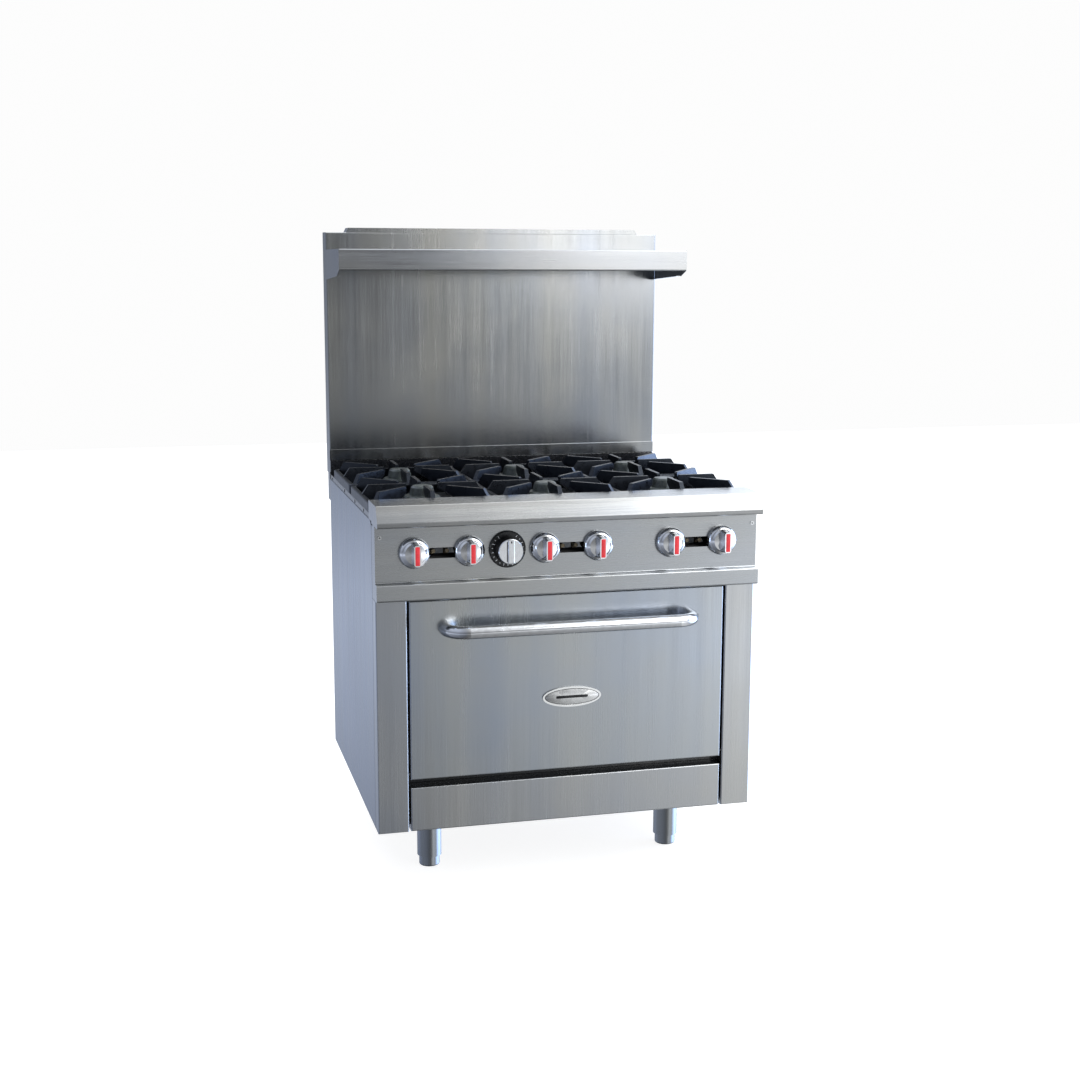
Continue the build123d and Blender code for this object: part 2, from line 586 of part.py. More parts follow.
with BuildPart() as thermostat_bezel:
    rod_y(THERMOSTAT_X, KNOB_Z, PANEL_Y - BEZEL_DEPTH, PANEL_Y, BEZEL_RADIUS)
    chamfer(thermostat_bezel.edges().group_by(Axis.Y)[0], 2.5)
    rod_y(THERMOSTAT_X, KNOB_Z, PANEL_Y - BEZEL_DEPTH - 1, PANEL_Y + 1, STEM_HOLE, mode=Mode.SUBTRACT)
finish(thermostat_bezel, "thermostat_bezel")

with BuildPart() as thermostat_knob:
    with BuildSketch(Plane(origin=(THERMOSTAT_X, DIAL_BACK, KNOB_Z), x_dir=(1, 0, 0), z_dir=(0, 0, 1))) as half_dial:
        with BuildLine():
            Polyline(
                (0, 0),
                (DIAL_FOOT, 0),
                (DIAL_NECK, -DIAL_RIM),
                (DIAL_RADIUS, -DIAL_RIM),
                (DIAL_RADIUS, -DIAL_FACE + DIAL_EDGE),
                (DIAL_RADIUS - DIAL_EDGE, -DIAL_FACE),
                (0, -DIAL_FACE),
                close=True,
            )
        make_face()
    revolve(half_dial.sketch, axis=Axis((THERMOSTAT_X, 0, KNOB_Z), (0, 1, 0)))
    block(
        (THERMOSTAT_X - BAND_HALF_X, DIAL_BACK - DIAL_FACE - BAND_RISE, KNOB_Z - BAND_HALF_Z),
        (THERMOSTAT_X + BAND_HALF_X, DIAL_BACK - DIAL_FACE + 1, KNOB_Z + BAND_HALF_Z),
    )
    fillet(thermostat_knob.edges().group_by(Axis.Y)[0], DIAL_EDGE)
    rod_y(THERMOSTAT_X, KNOB_Z, DIAL_BACK, PANEL_Y - 1 + STEM_LENGTH, STEM_R)
finish(thermostat_knob, "thermostat_knob")

BULB_Z, BULB_Y = 645.0, 100.0
CAPILLARY_X = -165.0
CAPILLARY_RADIUS = 1.5
LANE_Z = 715.0                    # free height between the insulation and the drip tray

with BuildPart() as thermostat_body:
    block((THERMOSTAT_X - 24, -372, VALVE_BOTTOM), (THERMOSTAT_X + 24, -322, 836))
    fillet(thermostat_body.edges().filter_by(Axis.Y), 4)
    rod_y(THERMOSTAT_X, KNOB_Z, -378, -372, 9)
    rod_y(THERMOSTAT_X, KNOB_Z, -380, VALVE_BORE_END, STEM_R + FIT, mode=Mode.SUBTRACT)
    tube_along(
        [
            (CAPILLARY_X, -322, 826),
            (CAPILLARY_X, -300, 826),
            (CAPILLARY_X, -300, LANE_Z),
            (CAPILLARY_X, BULB_Y, LANE_Z),
            (CAPILLARY_X, BULB_Y, BULB_Z),
            (CAPILLARY_X, BULB_Y + 12, BULB_Z),
        ],
        6,
        CAPILLARY_RADIUS,
    )
    rod_y(CAPILLARY_X, BULB_Z, BULB_Y + 12, BULB_Y + 140, 4.8)
finish(thermostat_body, "thermostat_body")

# ---------------------------------------------------------------- oven
CAVITY_HALF = 336.0
CAVITY_BOTTOM, CAVITY_TOP = 306.0, 660.0
CAVITY_FRONT, CAVITY_REAR = RETURN_Y + 2, 320.0
FRAME_HALF = 440.0
WOOL = 35.0
OVEN_FLUE_LOW, OVEN_FLUE_HIGH = 612.0, 648.0
FLUE_FLOOR = 600.0
DECK_SHELF = 30.0                 # inward flanges of the liner that carry the oven bottom

with BuildPart() as oven_front_frame:
    block((-FRAME_HALF, RETURN_Y, LEG_TOP + SHEET + FRAME_HEIGHT), (FRAME_HALF, CAVITY_FRONT, RAIL_BOTTOM - 1))
    block(
        (-CAVITY_HALF, RETURN_Y - 1, CAVITY_BOTTOM), (CAVITY_HALF, CAVITY_FRONT + 1, CAVITY_TOP), mode=Mode.SUBTRACT
    )
    block((-300, RETURN_Y - 1, 196), (300, CAVITY_FRONT + 1, 250), mode=Mode.SUBTRACT)
    block((-FRAME_HALF, CAVITY_FRONT, RAIL_BOTTOM - 3), (FRAME_HALF, CAVITY_FRONT + 18, RAIL_BOTTOM - 1))
finish(oven_front_frame, "oven_front_frame")

with BuildPart() as oven_liner:
    block(
        (-CAVITY_HALF - LINER, CAVITY_FRONT, CAVITY_BOTTOM - 4 - 2 * LINER),
        (CAVITY_HALF + LINER, CAVITY_REAR + LINER, CAVITY_TOP + LINER),
    )
    block(
        (-CAVITY_HALF, CAVITY_FRONT - 1, CAVITY_BOTTOM - 4 - LINER),
        (CAVITY_HALF, CAVITY_REAR, CAVITY_TOP),
        mode=Mode.SUBTRACT,
    )
    block(
        (-CAVITY_HALF + DECK_SHELF, CAVITY_FRONT - 1, CAVITY_BOTTOM - 10),
        (CAVITY_HALF - DECK_SHELF, CAVITY_REAR - DECK_SHELF, CAVITY_BOTTOM - 4),
        mode=Mode.SUBTRACT,
    )
    block(
        (-FLUE_HALF + 6, CAVITY_REAR - 1, OVEN_FLUE_LOW),
        (FLUE_HALF - 6, CAVITY_REAR + 2 * LINER, OVEN_FLUE_HIGH),
        mode=Mode.SUBTRACT,
    )
    rod_z(CAPILLARY_X, BULB_Y, CAVITY_TOP - 1, CAVITY_TOP + 2 * LINER, CAPILLARY_RADIUS + 1, mode=Mode.SUBTRACT)
finish(oven_liner, "oven_liner")

with BuildPart() as oven_deck:
    deck_z = CAVITY_BOTTOM - 4 - LINER
    block((-CAVITY_HALF + 1, CAVITY_FRONT + 2, deck_z), (CAVITY_HALF - 1, CAVITY_REAR - 2, deck_z + 2))
    for slot_row in (-290, 290):
        with Locations((slot_row, (CAVITY_FRONT + CAVITY_REAR) / 2, deck_z)), GridLocations(1, 62, 1, 9):
            Box(14, 40, 8, mode=Mode.SUBTRACT)
    block(
        (-CAVITY_HALF + DECK_SHELF + 4, CAVITY_FRONT + 2, deck_z - 12),
        (CAVITY_HALF - DECK_SHELF - 4, CAVITY_FRONT + 4, deck_z),
    )
finish(oven_deck, "oven_deck")

with BuildPart() as oven_insulation:
    block(
        (-CAVITY_HALF - WOOL, CAVITY_FRONT + 2, CAVITY_BOTTOM - 10),
        (CAVITY_HALF + WOOL, CAVITY_REAR + WOOL - 4, CAVITY_TOP + WOOL - 4),
    )
    block(
        (-CAVITY_HALF - LINER, CAVITY_FRONT, CAVITY_BOTTOM - 12),
        (CAVITY_HALF + LINER, CAVITY_REAR + LINER, CAVITY_TOP + LINER),
        mode=Mode.SUBTRACT,
    )
    block(
        (-FLUE_HALF - 1, CAVITY_REAR, FLUE_FLOOR - 1),
        (FLUE_HALF + 1, CAVITY_REAR + 2 * WOOL, CAVITY_TOP + 2 * WOOL),
        mode=Mode.SUBTRACT,
    )
    rod_z(CAPILLARY_X, BULB_Y, CAVITY_TOP, CAVITY_TOP + 2 * WOOL, 4, mode=Mode.SUBTRACT)
finish(oven_insulation, "oven_insulation")

GUIDE_X, GUIDE_WIRE = 328.0, 3.0
GUIDE_LEVELS = (365.0, 430.0, 500.0, 570.0)
POST_YS = (-260.0, 0.0, 260.0)

with BuildPart() as rack_guides:
    for side in (-1, 1):
        for post_y in POST_YS:
            rod_z(side * (GUIDE_X + 5), post_y, CAVITY_BOTTOM + 2, 640, GUIDE_WIRE - 0.5)
        for level in GUIDE_LEVELS:
            rod_y(side * GUIDE_X, level, -318, 312, GUIDE_WIRE)
finish(rack_guides, "rack_guides")

RACK_HALF, RACK_FRONT, RACK_REAR = 323.0, -288.0, 310.0
RACK_ROD, RACK_WIRE = 4.0, 2.5
RACK_WIRES = 19

for rack_name, level in (("oven_rack_lower", GUIDE_LEVELS[1]), ("oven_rack_upper", GUIDE_LEVELS[3])):
    rack_z = level + GUIDE_WIRE + RACK_ROD + 0.3
    with BuildPart() as oven_rack:
        for side in (-1, 1):
            rod_y(side * RACK_HALF, rack_z, RACK_FRONT - RACK_ROD, RACK_REAR + RACK_ROD, RACK_ROD)
        for cross_y in (RACK_FRONT, (RACK_FRONT + RACK_REAR) / 2, RACK_REAR):
            rod_x(cross_y, rack_z, -RACK_HALF, RACK_HALF, RACK_ROD - 0.5)
        pitch = 2 * RACK_HALF / (RACK_WIRES + 1)
        for number in range(1, RACK_WIRES + 1):
            wire_x = -RACK_HALF + number * pitch
            rod_y(wire_x, rack_z + RACK_WIRE, RACK_FRONT - 2, RACK_REAR + 2, RACK_WIRE)
    finish(oven_rack, rack_name)

BURNER_Z = 235.0
BURNER_RADIUS = 19.0
BURNER_PORTS = 16

with BuildPart() as oven_burner:
    rod_y(0, BURNER_Z, -285, 250, BURNER_RADIUS)
    rod_y(0, BURNER_Z, -286, 247, BURNER_RADIUS - 2, mode=Mode.SUBTRACT)
    for side in (-1, 1):
        with Locations((side * 12, 20, BURNER_Z + 14)), GridLocations(1, 26, 1, BURNER_PORTS):
            Box(4, 14, 20, rotation=(0, side * 40, 0), mode=Mode.SUBTRACT)
    block((-12, 247, LEG_TOP + FRAME_HEIGHT), (12, 249, BURNER_Z - BURNER_RADIUS + 2))
finish(oven_burner, "oven_burner")

LINE_RADIUS, LINE_X = 4.8, -405.0
LINE_Y, LINE_Z = -308.0, 716.0

with BuildPart() as oven_safety_valve:
    block((-30, LINE_Y - 14, BURNER_Z - 22), (30, LINE_Y + 12, BURNER_Z + 24))
    fillet(oven_safety_valve.edges().filter_by(Axis.Y), 5)
    rod_y(0, BURNER_Z, LINE_Y + 12, LINE_Y + 20, 6)
    tube_along(
        [
            (THERMOSTAT_X, -321.9, 814),
            (THERMOSTAT_X, LINE_Y, 814),
            (THERMOSTAT_X, LINE_Y, LINE_Z),
            (LINE_X, LINE_Y, LINE_Z),
            (LINE_X, LINE_Y, BURNER_Z),
            (-30, LINE_Y, BURNER_Z),
        ],
        12,
        LINE_RADIUS,
    )
finish(oven_safety_valve, "oven_safety_valve")

# ---------------------------------------------------------------- oven door
DOOR_BACK = RETURN_Y - 6
DOOR_INNER = RETURN_Y - 4
PLUG_HALF, PLUG_BOTTOM, PLUG_TOP = 318.0, 324.0, 642.0

with BuildPart() as door_outer_panel:
    pan((-DOOR_HALF, FACE_Y, DOOR_BOTTOM), (DOOR_HALF, DOOR_BACK, DOOR_TOP))
    for side in (-1, 1):
        start, end = sorted((side * (DOOR_HALF - 3 * SHEET), side * (DOOR_HALF + 1)))
        rod_x(HINGE_Y, HINGE_Z, start, end, HINGE_RADIUS + CLEAR, mode=Mode.SUBTRACT)
finish(door_outer_panel, "door_outer_panel")

with BuildPart() as door_inner_panel:
    block(
        (-DOOR_HALF + 2, DOOR_BACK, DOOR_BOTTOM + 2),
        (DOOR_HALF - 2, DOOR_INNER, DOOR_TOP - 2),
    )
    block((-PLUG_HALF, DOOR_INNER, PLUG_BOTTOM), (PLUG_HALF, CAVITY_FRONT, PLUG_TOP))
    chamfer(door_inner_panel.faces().sort_by(Axis.Y)[-1].edges(), 4)
    block(
        (-PLUG_HALF + 8, DOOR_BACK - 1, PLUG_BOTTOM + 8),
        (PLUG_HALF - 8, CAVITY_FRONT - SHEET, PLUG_TOP - 8),
        mode=Mode.SUBTRACT,
    )
finish(door_inner_panel, "door_inner_panel")

with BuildPart() as door_insulation:
    block((-DOOR_HALF + 6, FACE_Y + 4, 302), (DOOR_HALF - 6, DOOR_BACK, DOOR_TOP - 8))
finish(door_insulation, "door_insulation")

with BuildPart() as door_gasket:
    with BuildSketch(Plane.XZ.offset(-DOOR_INNER)):
        with Locations((0, (293 + 674) / 2)):
            RectangleRounded(2 * 350, 674 - 293, 12)
        with Locations((0, (305 + 662) / 2)):
            RectangleRounded(2 * 338, 662 - 305, 4, mode=Mode.SUBTRACT)
    extrude(amount=DOOR_INNER - RETURN_Y)
finish(door_gasket, "door_gasket")

with BuildPart() as door_hinge_blocks:
    for side in (-1, 1):
        start, end = sorted((side * (DOOR_HALF - SHEET), side * (DOOR_HALF - 28)))
        block((start, HINGE_Y - 9, DOOR_BOTTOM + SHEET), (end, DOOR_BACK, HINGE_Z + 14))
        rod_x(HINGE_Y, HINGE_Z, start - 1, end + 1, HINGE_RADIUS + FIT, mode=Mode.SUBTRACT)
finish(door_hinge_blocks, "door_hinge_blocks")

with BuildPart() as door_hinge_pins:
    for side in (-1, 1):
        plate = STILE_X + SHEET
        start, end = sorted((side * plate, side * (plate + 4)))
        block((start, HINGE_Y - 14, HINGE_Z - 16), (end, RETURN_Y, HINGE_Z + 24))
        start, end = sorted((side * (DOOR_HALF - 24), side * plate))
        rod_x(HINGE_Y, HINGE_Z, start, end, HINGE_RADIUS)
finish(door_hinge_pins, "door_hinge_pins")

HANDLE_RADIUS, HANDLE_BORE = 15.0, 12.5
HANDLE_HALF = 297.0
HANDLE_Y, HANDLE_Z = -435.0, 632.0
HANDLE_BEND = 46.0

with BuildPart() as door_handle:
    tube_along(
        [
            (-HANDLE_HALF, FACE_Y, HANDLE_Z),
            (-HANDLE_HALF, HANDLE_Y, HANDLE_Z),
            (HANDLE_HALF, HANDLE_Y, HANDLE_Z),
            (HANDLE_HALF, FACE_Y, HANDLE_Z),
        ],
        HANDLE_BEND,
        HANDLE_RADIUS,
        HANDLE_BORE,
    )
finish(door_handle, "door_handle")

BADGE_X, BADGE_Z = 5.0, 452.0
BADGE_HALF_X, BADGE_HALF_Z = 71.0, 24.5

with BuildPart() as door_badge:
    with BuildSketch(Plane.XZ.offset(-FACE_Y)):
        with Locations((BADGE_X, BADGE_Z)):
            Ellipse(BADGE_HALF_X, BADGE_HALF_Z)
    extrude(amount=3)
    with BuildSketch(Plane.XZ.offset(-FACE_Y + 3)):
        with Locations((BADGE_X, BADGE_Z)):
            Ellipse(BADGE_HALF_X, BADGE_HALF_Z)
            Ellipse(BADGE_HALF_X - 4, BADGE_HALF_Z - 4, mode=Mode.SUBTRACT)
    extrude(amount=1)
finish(door_badge, "door_badge")

# ---------------------------------------------------------------- backguard, flue and shelf
GUARD_BOTTOM = 894.0
RISER_HALF = 402.0
POST_BOTTOM, POST_DEPTH, POST_WIDTH = 822.0, 40.0, 30.0
STRIP_BOTTOM, STRIP_TOP = 930.0, 960.0

with BuildPart() as backguard_panel:
    pan((-HALF, REAR_Y, GUARD_BOTTOM), (HALF, BACK_Y, BACKGUARD_TOP))
    block(
        (-RISER_HALF - CLEAR, REAR_Y + SHEET, GUARD_BOTTOM - 1),
        (RISER_HALF + CLEAR, BACK_Y + 1, OVERALL_TOP),
        mode=Mode.SUBTRACT,
    )
    block((-HALF, REAR_Y - 2.5, STRIP_BOTTOM), (HALF, REAR_Y, STRIP_TOP))
    fillet(backguard_panel.faces().sort_by(Axis.Y)[0].edges().filter_by(Axis.X), 1.2)
    for side in (-1, 1):
        start, end = sorted((side * INNER, side * HALF))
        block((start, REAR_Y, POST_BOTTOM), (end, REAR_Y + POST_DEPTH, GUARD_BOTTOM + 5))
        start, end = sorted((side * (INNER - POST_WIDTH), side * INNER))
        block((start, REAR_Y, POST_BOTTOM), (end, REAR_Y + SHEET, GUARD_BOTTOM + 5))
finish(backguard_panel, "backguard_panel")

THROAT = 1.5
DUCT_TOP = FLUE_HIGH + 1
DUCT_REAR = BACK_Y - 2
DUCT_LOW = FLUE_LOW - 10

with BuildPart() as flue_duct:
    block((-FLUE_HALF, CAVITY_REAR + LINER, FLUE_FLOOR), (FLUE_HALF, REAR_Y - 3, DUCT_TOP))
    block((-FLUE_HALF, REAR_Y - 4, FLUE_LOW), (FLUE_HALF, REAR_Y + 4, FLUE_HIGH))
    block((-FLUE_HALF, REAR_Y + THROAT, DUCT_LOW), (FLUE_HALF, DUCT_REAR, GUARD_BOTTOM - 1))
    block(
        (-FLUE_HALF + LINER, CAVITY_REAR + 2 * LINER, FLUE_FLOOR + LINER),
        (FLUE_HALF - LINER, REAR_Y - 3 - LINER, FLUE_HIGH - LINER),
        mode=Mode.SUBTRACT,
    )
    block(
        (-FLUE_HALF + LINER, REAR_Y - 8, FLUE_LOW + LINER),
        (FLUE_HALF - LINER, REAR_Y + 8, FLUE_HIGH - LINER),
        mode=Mode.SUBTRACT,
    )
    block(
        (-FLUE_HALF + LINER, REAR_Y + THROAT + LINER, DUCT_LOW + LINER),
        (FLUE_HALF - LINER, DUCT_REAR - LINER, GUARD_BOTTOM + 1),
        mode=Mode.SUBTRACT,
    )
    block(
        (-FLUE_HALF + 6, CAVITY_REAR, OVEN_FLUE_LOW),
        (FLUE_HALF - 6, CAVITY_REAR + 4 * LINER, OVEN_FLUE_HIGH),
        mode=Mode.SUBTRACT,
    )
finish(flue_duct, "flue_duct")

CAP_SLANT = 6.0
RISER_FRONT = REAR_Y + SHEET + CLEAR
OUTLET_COUNT, OUTLET_WIDTH = 7, 90.0

SEAM = 0.1                        # gap between two sheets of the riser
RISER_BOTTOM = GUARD_BOTTOM - 1
INSIDE_FRONT, INSIDE_REAR = RISER_FRONT + LINER + SEAM, BACK_Y - LINER - SEAM
OUTLET_FRONT, OUTLET_REAR = BACK_Y - 32, BACK_Y - 8
OUTLET_PITCH = 108.0
CAP_HALF = RISER_HALF - CAP_SLANT - LINER - SEAM
CAP_BOTTOM = OVERALL_TOP - LINER

with BuildPart() as flue_riser:
    for sheet_y in (RISER_FRONT, BACK_Y - LINER):
        with BuildSketch(Plane.XZ.offset(-sheet_y)):
            with BuildLine():
                Polyline(
                    (-RISER_HALF, RISER_BOTTOM),
                    (RISER_HALF, RISER_BOTTOM),
                    (RISER_HALF, BACKGUARD_TOP),
                    (RISER_HALF - CAP_SLANT, OVERALL_TOP),
                    (-RISER_HALF + CAP_SLANT, OVERALL_TOP),
                    (-RISER_HALF, BACKGUARD_TOP),
                    close=True,
                )
            make_face()
        extrude(amount=-LINER)
    for side in (-1, 1):
        start, end = sorted((side * RISER_HALF, side * (RISER_HALF - LINER)))
        block((start, INSIDE_FRONT, RISER_BOTTOM), (end, INSIDE_REAR, BACKGUARD_TOP - LINER))
        start, end = sorted((side * FLUE_HALF, side * (RISER_HALF - LINER - SEAM)))
        block((start, INSIDE_FRONT, RISER_BOTTOM), (end, INSIDE_REAR, RISER_BOTTOM + LINER))
        with BuildSketch(Plane.XZ.offset(-INSIDE_FRONT)):
            with BuildLine():
                Polyline(
                    (side * RISER_HALF, BACKGUARD_TOP),
                    (side * (RISER_HALF - CAP_SLANT), OVERALL_TOP),
                    (side * (RISER_HALF - CAP_SLANT - LINER), OVERALL_TOP - LINER / 2),
                    (side * (RISER_HALF - LINER), BACKGUARD_TOP - LINER / 2),
                    close=True,
                )
            make_face()
        extrude(amount=-(INSIDE_REAR - INSIDE_FRONT))
        start, end = sorted((side * CAP_HALF, side * (OUTLET_COUNT * OUTLET_PITCH - OUTLET_PITCH + OUTLET_WIDTH) / 2))
        block((start, OUTLET_FRONT + SEAM, CAP_BOTTOM), (end, OUTLET_REAR - SEAM, OVERALL_TOP))
    block((-CAP_HALF, INSIDE_FRONT, CAP_BOTTOM), (CAP_HALF, OUTLET_FRONT, OVERALL_TOP))
    block((-CAP_HALF, OUTLET_REAR, CAP_BOTTOM), (CAP_HALF, INSIDE_REAR, OVERALL_TOP))
    bar_middle = (0, (OUTLET_FRONT + OUTLET_REAR) / 2, OVERALL_TOP - LINER / 2)
    with Locations(bar_middle), GridLocations(OUTLET_PITCH, 1, OUTLET_COUNT - 1, 1):
        Box(OUTLET_PITCH - OUTLET_WIDTH, OUTLET_REAR - OUTLET_FRONT - 2 * SEAM, LINER)
finish(flue_riser, "flue_riser")

SHELF_FRONT, SHELF_TOP, LIP_BOTTOM = 133.0, 1489.0, 1437.0

with BuildPart() as high_shelf:
    with BuildSketch(Plane.YZ.offset(-INNER)):
        bent_sheet(
            [
                (REAR_Y, SHELF_TOP - 30),
                (REAR_Y, SHELF_TOP),
                (SHELF_FRONT, SHELF_TOP),
                (SHELF_FRONT, LIP_BOTTOM),
                (SHELF_FRONT + 16, LIP_BOTTOM),
            ],
            [2.0, 3.0, 3.0],
        )
    extrude(amount=2 * INNER)
finish(high_shelf, "high_shelf")

BRACKET_REAR, BRACKET_KNEE = 1411.0, (175.0, 1422.0)
BRACKET_FLANGE = 12.0

with BuildPart() as shelf_brackets:
    for side in (-1, 1):
        outer = -HALF if side < 0 else INNER
        with BuildSketch(Plane.YZ.offset(outer)):
            with BuildLine():
                Polyline(
                    (SHELF_FRONT, SHELF_TOP),
                    (SHELF_FRONT, LIP_BOTTOM),
                    BRACKET_KNEE,
                    (REAR_Y, BRACKET_REAR),
                    (REAR_Y, SHELF_TOP),
                    close=True,
                )
            make_face()
            fillet(vertices().group_by(Axis.Z)[-1].sort_by(Axis.Y)[0], 3)
        extrude(amount=SHEET)
        start = -INNER if side < 0 else INNER - BRACKET_FLANGE
        with BuildSketch(Plane.YZ.offset(start)):
            with BuildLine():
                Polyline(
                    BRACKET_KNEE,
                    (REAR_Y, BRACKET_REAR),
                    (REAR_Y, BRACKET_REAR + SHEET),
                    (BRACKET_KNEE[0], BRACKET_KNEE[1] + SHEET),
                    close=True,
                )
            make_face()
        extrude(amount=BRACKET_FLANGE)
finish(shelf_brackets, "shelf_brackets")

# ---------------------------------------------------------------- screws
with BuildPart() as casing_screws:
    for screw_x in (-PANEL_SCREW[0], PANEL_SCREW[0]):
        rod_y(screw_x, PANEL_SCREW[1], PANEL_Y - 2, PANEL_Y, SCREW_HEAD)
        rod_y(screw_x, PANEL_SCREW[1], PANEL_Y, PANEL_Y + 8, SCREW_SHANK)
    for side in (-1, 1):
        for screw_y in RAIL_SCREW_YS:
            start, end = sorted((side * INNER, side * HALF))
            rod_x(screw_y, RAIL_SCREW_Z, start, end, SCREW_HEAD)
            start, end = sorted((side * INNER, side * (INNER - 8)))
            rod_x(screw_y, RAIL_SCREW_Z, start, end, SCREW_SHANK)
        for screw_z in REAR_SCREW_ZS:
            rod_y(side * REAR_SCREW_X, screw_z, REAR_Y, REAR_Y + 2, SCREW_HEAD)
            rod_y(side * REAR_SCREW_X, screw_z, REAR_Y - 8, REAR_Y, SCREW_SHANK)
finish(casing_screws, "casing_screws")
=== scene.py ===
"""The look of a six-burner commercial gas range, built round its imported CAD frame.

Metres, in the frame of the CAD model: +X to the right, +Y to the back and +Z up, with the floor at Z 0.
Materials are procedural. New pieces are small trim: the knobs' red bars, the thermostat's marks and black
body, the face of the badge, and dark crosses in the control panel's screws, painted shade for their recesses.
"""

import json
import math

import bmesh
import bpy
from mathutils import Matrix, Vector


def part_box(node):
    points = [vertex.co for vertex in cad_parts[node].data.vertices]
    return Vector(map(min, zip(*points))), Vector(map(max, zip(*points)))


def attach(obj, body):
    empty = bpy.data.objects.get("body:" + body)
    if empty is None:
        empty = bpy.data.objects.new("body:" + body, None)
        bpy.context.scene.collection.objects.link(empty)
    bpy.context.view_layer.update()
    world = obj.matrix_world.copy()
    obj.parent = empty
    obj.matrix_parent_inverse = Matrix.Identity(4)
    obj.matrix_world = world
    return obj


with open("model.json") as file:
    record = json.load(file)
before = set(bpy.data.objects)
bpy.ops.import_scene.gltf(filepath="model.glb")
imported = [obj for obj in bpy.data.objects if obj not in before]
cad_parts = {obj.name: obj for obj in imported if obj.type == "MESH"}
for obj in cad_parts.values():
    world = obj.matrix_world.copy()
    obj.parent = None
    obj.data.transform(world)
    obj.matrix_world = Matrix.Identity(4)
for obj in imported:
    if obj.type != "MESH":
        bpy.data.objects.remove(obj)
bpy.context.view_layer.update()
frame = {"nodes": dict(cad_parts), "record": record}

NODES = frame["nodes"]
SMOOTH_ANGLE = math.radians(32)


# ---------------------------------------------------------------- materials
def tone(red, green, blue):
    """A colour given as it looks on a screen, 0 to 255, as the linear colour that a shader takes."""
    def linear(value):
        share = value / 255
        return share / 12.92 if share <= 0.04045 else ((share + 0.055) / 1.055) ** 2.4
    return linear(red), linear(green), linear(blue), 1.0


class Surface:
    """A Principled material being built. Each method adds one node and returns its output."""

    def __init__(self, name, colour, roughness, metallic=0.0, **values):
        self.material = bpy.data.materials.new(name)
        self.material.use_nodes = True
        self.tree = self.material.node_tree
        self.shader = self.tree.nodes["Principled BSDF"]
        self.material.diffuse_color = colour
        settings = {"Base Color": colour, "Roughness": roughness, "Metallic": metallic, **values}
        for socket, value in settings.items():
            self.shader.inputs[socket].default_value = value
        self.place = self.tree.nodes.new("ShaderNodeTexCoord").outputs["Object"]

    def add(self, kind, **settings):
        node = self.tree.nodes.new(kind)
        for key, value in settings.items():
            setattr(node, key, value)
        return node

    def feed(self, source, socket):
        self.tree.links.new(source, socket)

    def drive(self, socket, source):
        """Links a node's output to one of the shader's own sockets."""
        self.feed(source, self.shader.inputs[socket])

    def stretched(self, stretch):
        """The place on the object, in metres, stretched or squeezed along each axis."""
        mapping = self.add("ShaderNodeMapping")
        mapping.inputs["Scale"].default_value = stretch
        self.feed(self.place, mapping.inputs["Vector"])
        return mapping.outputs["Vector"]

    def noise(self, scale, stretch=(1, 1, 1), detail=2.0, rough=0.5, warp=0.0):
        node = self.add("ShaderNodeTexNoise")
        node.inputs["Scale"].default_value = scale
        node.inputs["Detail"].default_value = detail
        node.inputs["Roughness"].default_value = rough
        node.inputs["Distortion"].default_value = warp
        self.feed(self.stretched(stretch), node.inputs["Vector"])
        return node.outputs["Fac"]

    def cells(self, scale, stretch=(1, 1, 1), feature="F1"):
        node = self.add("ShaderNodeTexVoronoi", feature=feature)
        node.inputs["Scale"].default_value = scale
        self.feed(self.stretched(stretch), node.inputs["Vector"])
        return node.outputs["Distance"]

    def spread(self, source, low, high, start=0.0, end=1.0):
        """A number from start to end, turned into one from low to high."""
        node = self.add("ShaderNodeMapRange")
        for socket, value in (("From Min", start), ("From Max", end), ("To Min", low), ("To Max", high)):
            node.inputs[socket].default_value = value
        self.feed(source, node.inputs["Value"])
        return node.outputs["Result"]

    def sum(self, first, second, operation="ADD"):
        node = self.add("ShaderNodeMath", operation=operation)
        for value, socket in zip((first, second), node.inputs):
            if isinstance(value, (int, float)):
                socket.default_value = value
            else:
                self.feed(value, socket)
        return node.outputs["Value"]

    def ramp(self, source, *stops):
        """A colour picked along (place, colour) stops."""
        node = self.add("ShaderNodeValToRGB")
        elements = node.color_ramp.elements
        while len(elements) < len(stops):
            elements.new(0.5)
        for element, (place, colour) in zip(elements, stops):
            element.position = place
            element.color = colour
        self.feed(source, node.inputs["Fac"])
        return node.outputs["Color"]

    def mix(self, factor, first, second, blend="MIX"):
        node = self.add("ShaderNodeMix", data_type="RGBA", blend_type=blend)
        for value, socket in ((factor, node.inputs[0]), (first, node.inputs[6]), (second, node.inputs[7])):
            if isinstance(value, (int, float, tuple)):
                socket.default_value = value
            else:
                self.feed(value, socket)
        return node.outputs[2]

    def bump(self, height, distance, strength=1.0):
        """Raises the surface by up to distance, in metres."""
        node = self.add("ShaderNodeBump")
        node.inputs["Strength"].default_value = strength
        node.inputs["Distance"].default_value = distance
        self.feed(height, node.inputs["Height"])
        self.drive("Normal", node.outputs["Normal"])


UPRIGHT = (1.0, 1.0, 0.012)       # grain that runs up the sheet
SIDEWAYS = (0.012, 1.0, 1.0)      # grain that runs along the range


def lighter(colour, share):
    return tuple(min(1.0, value * share) for value in colour[:3]) + (1.0,)


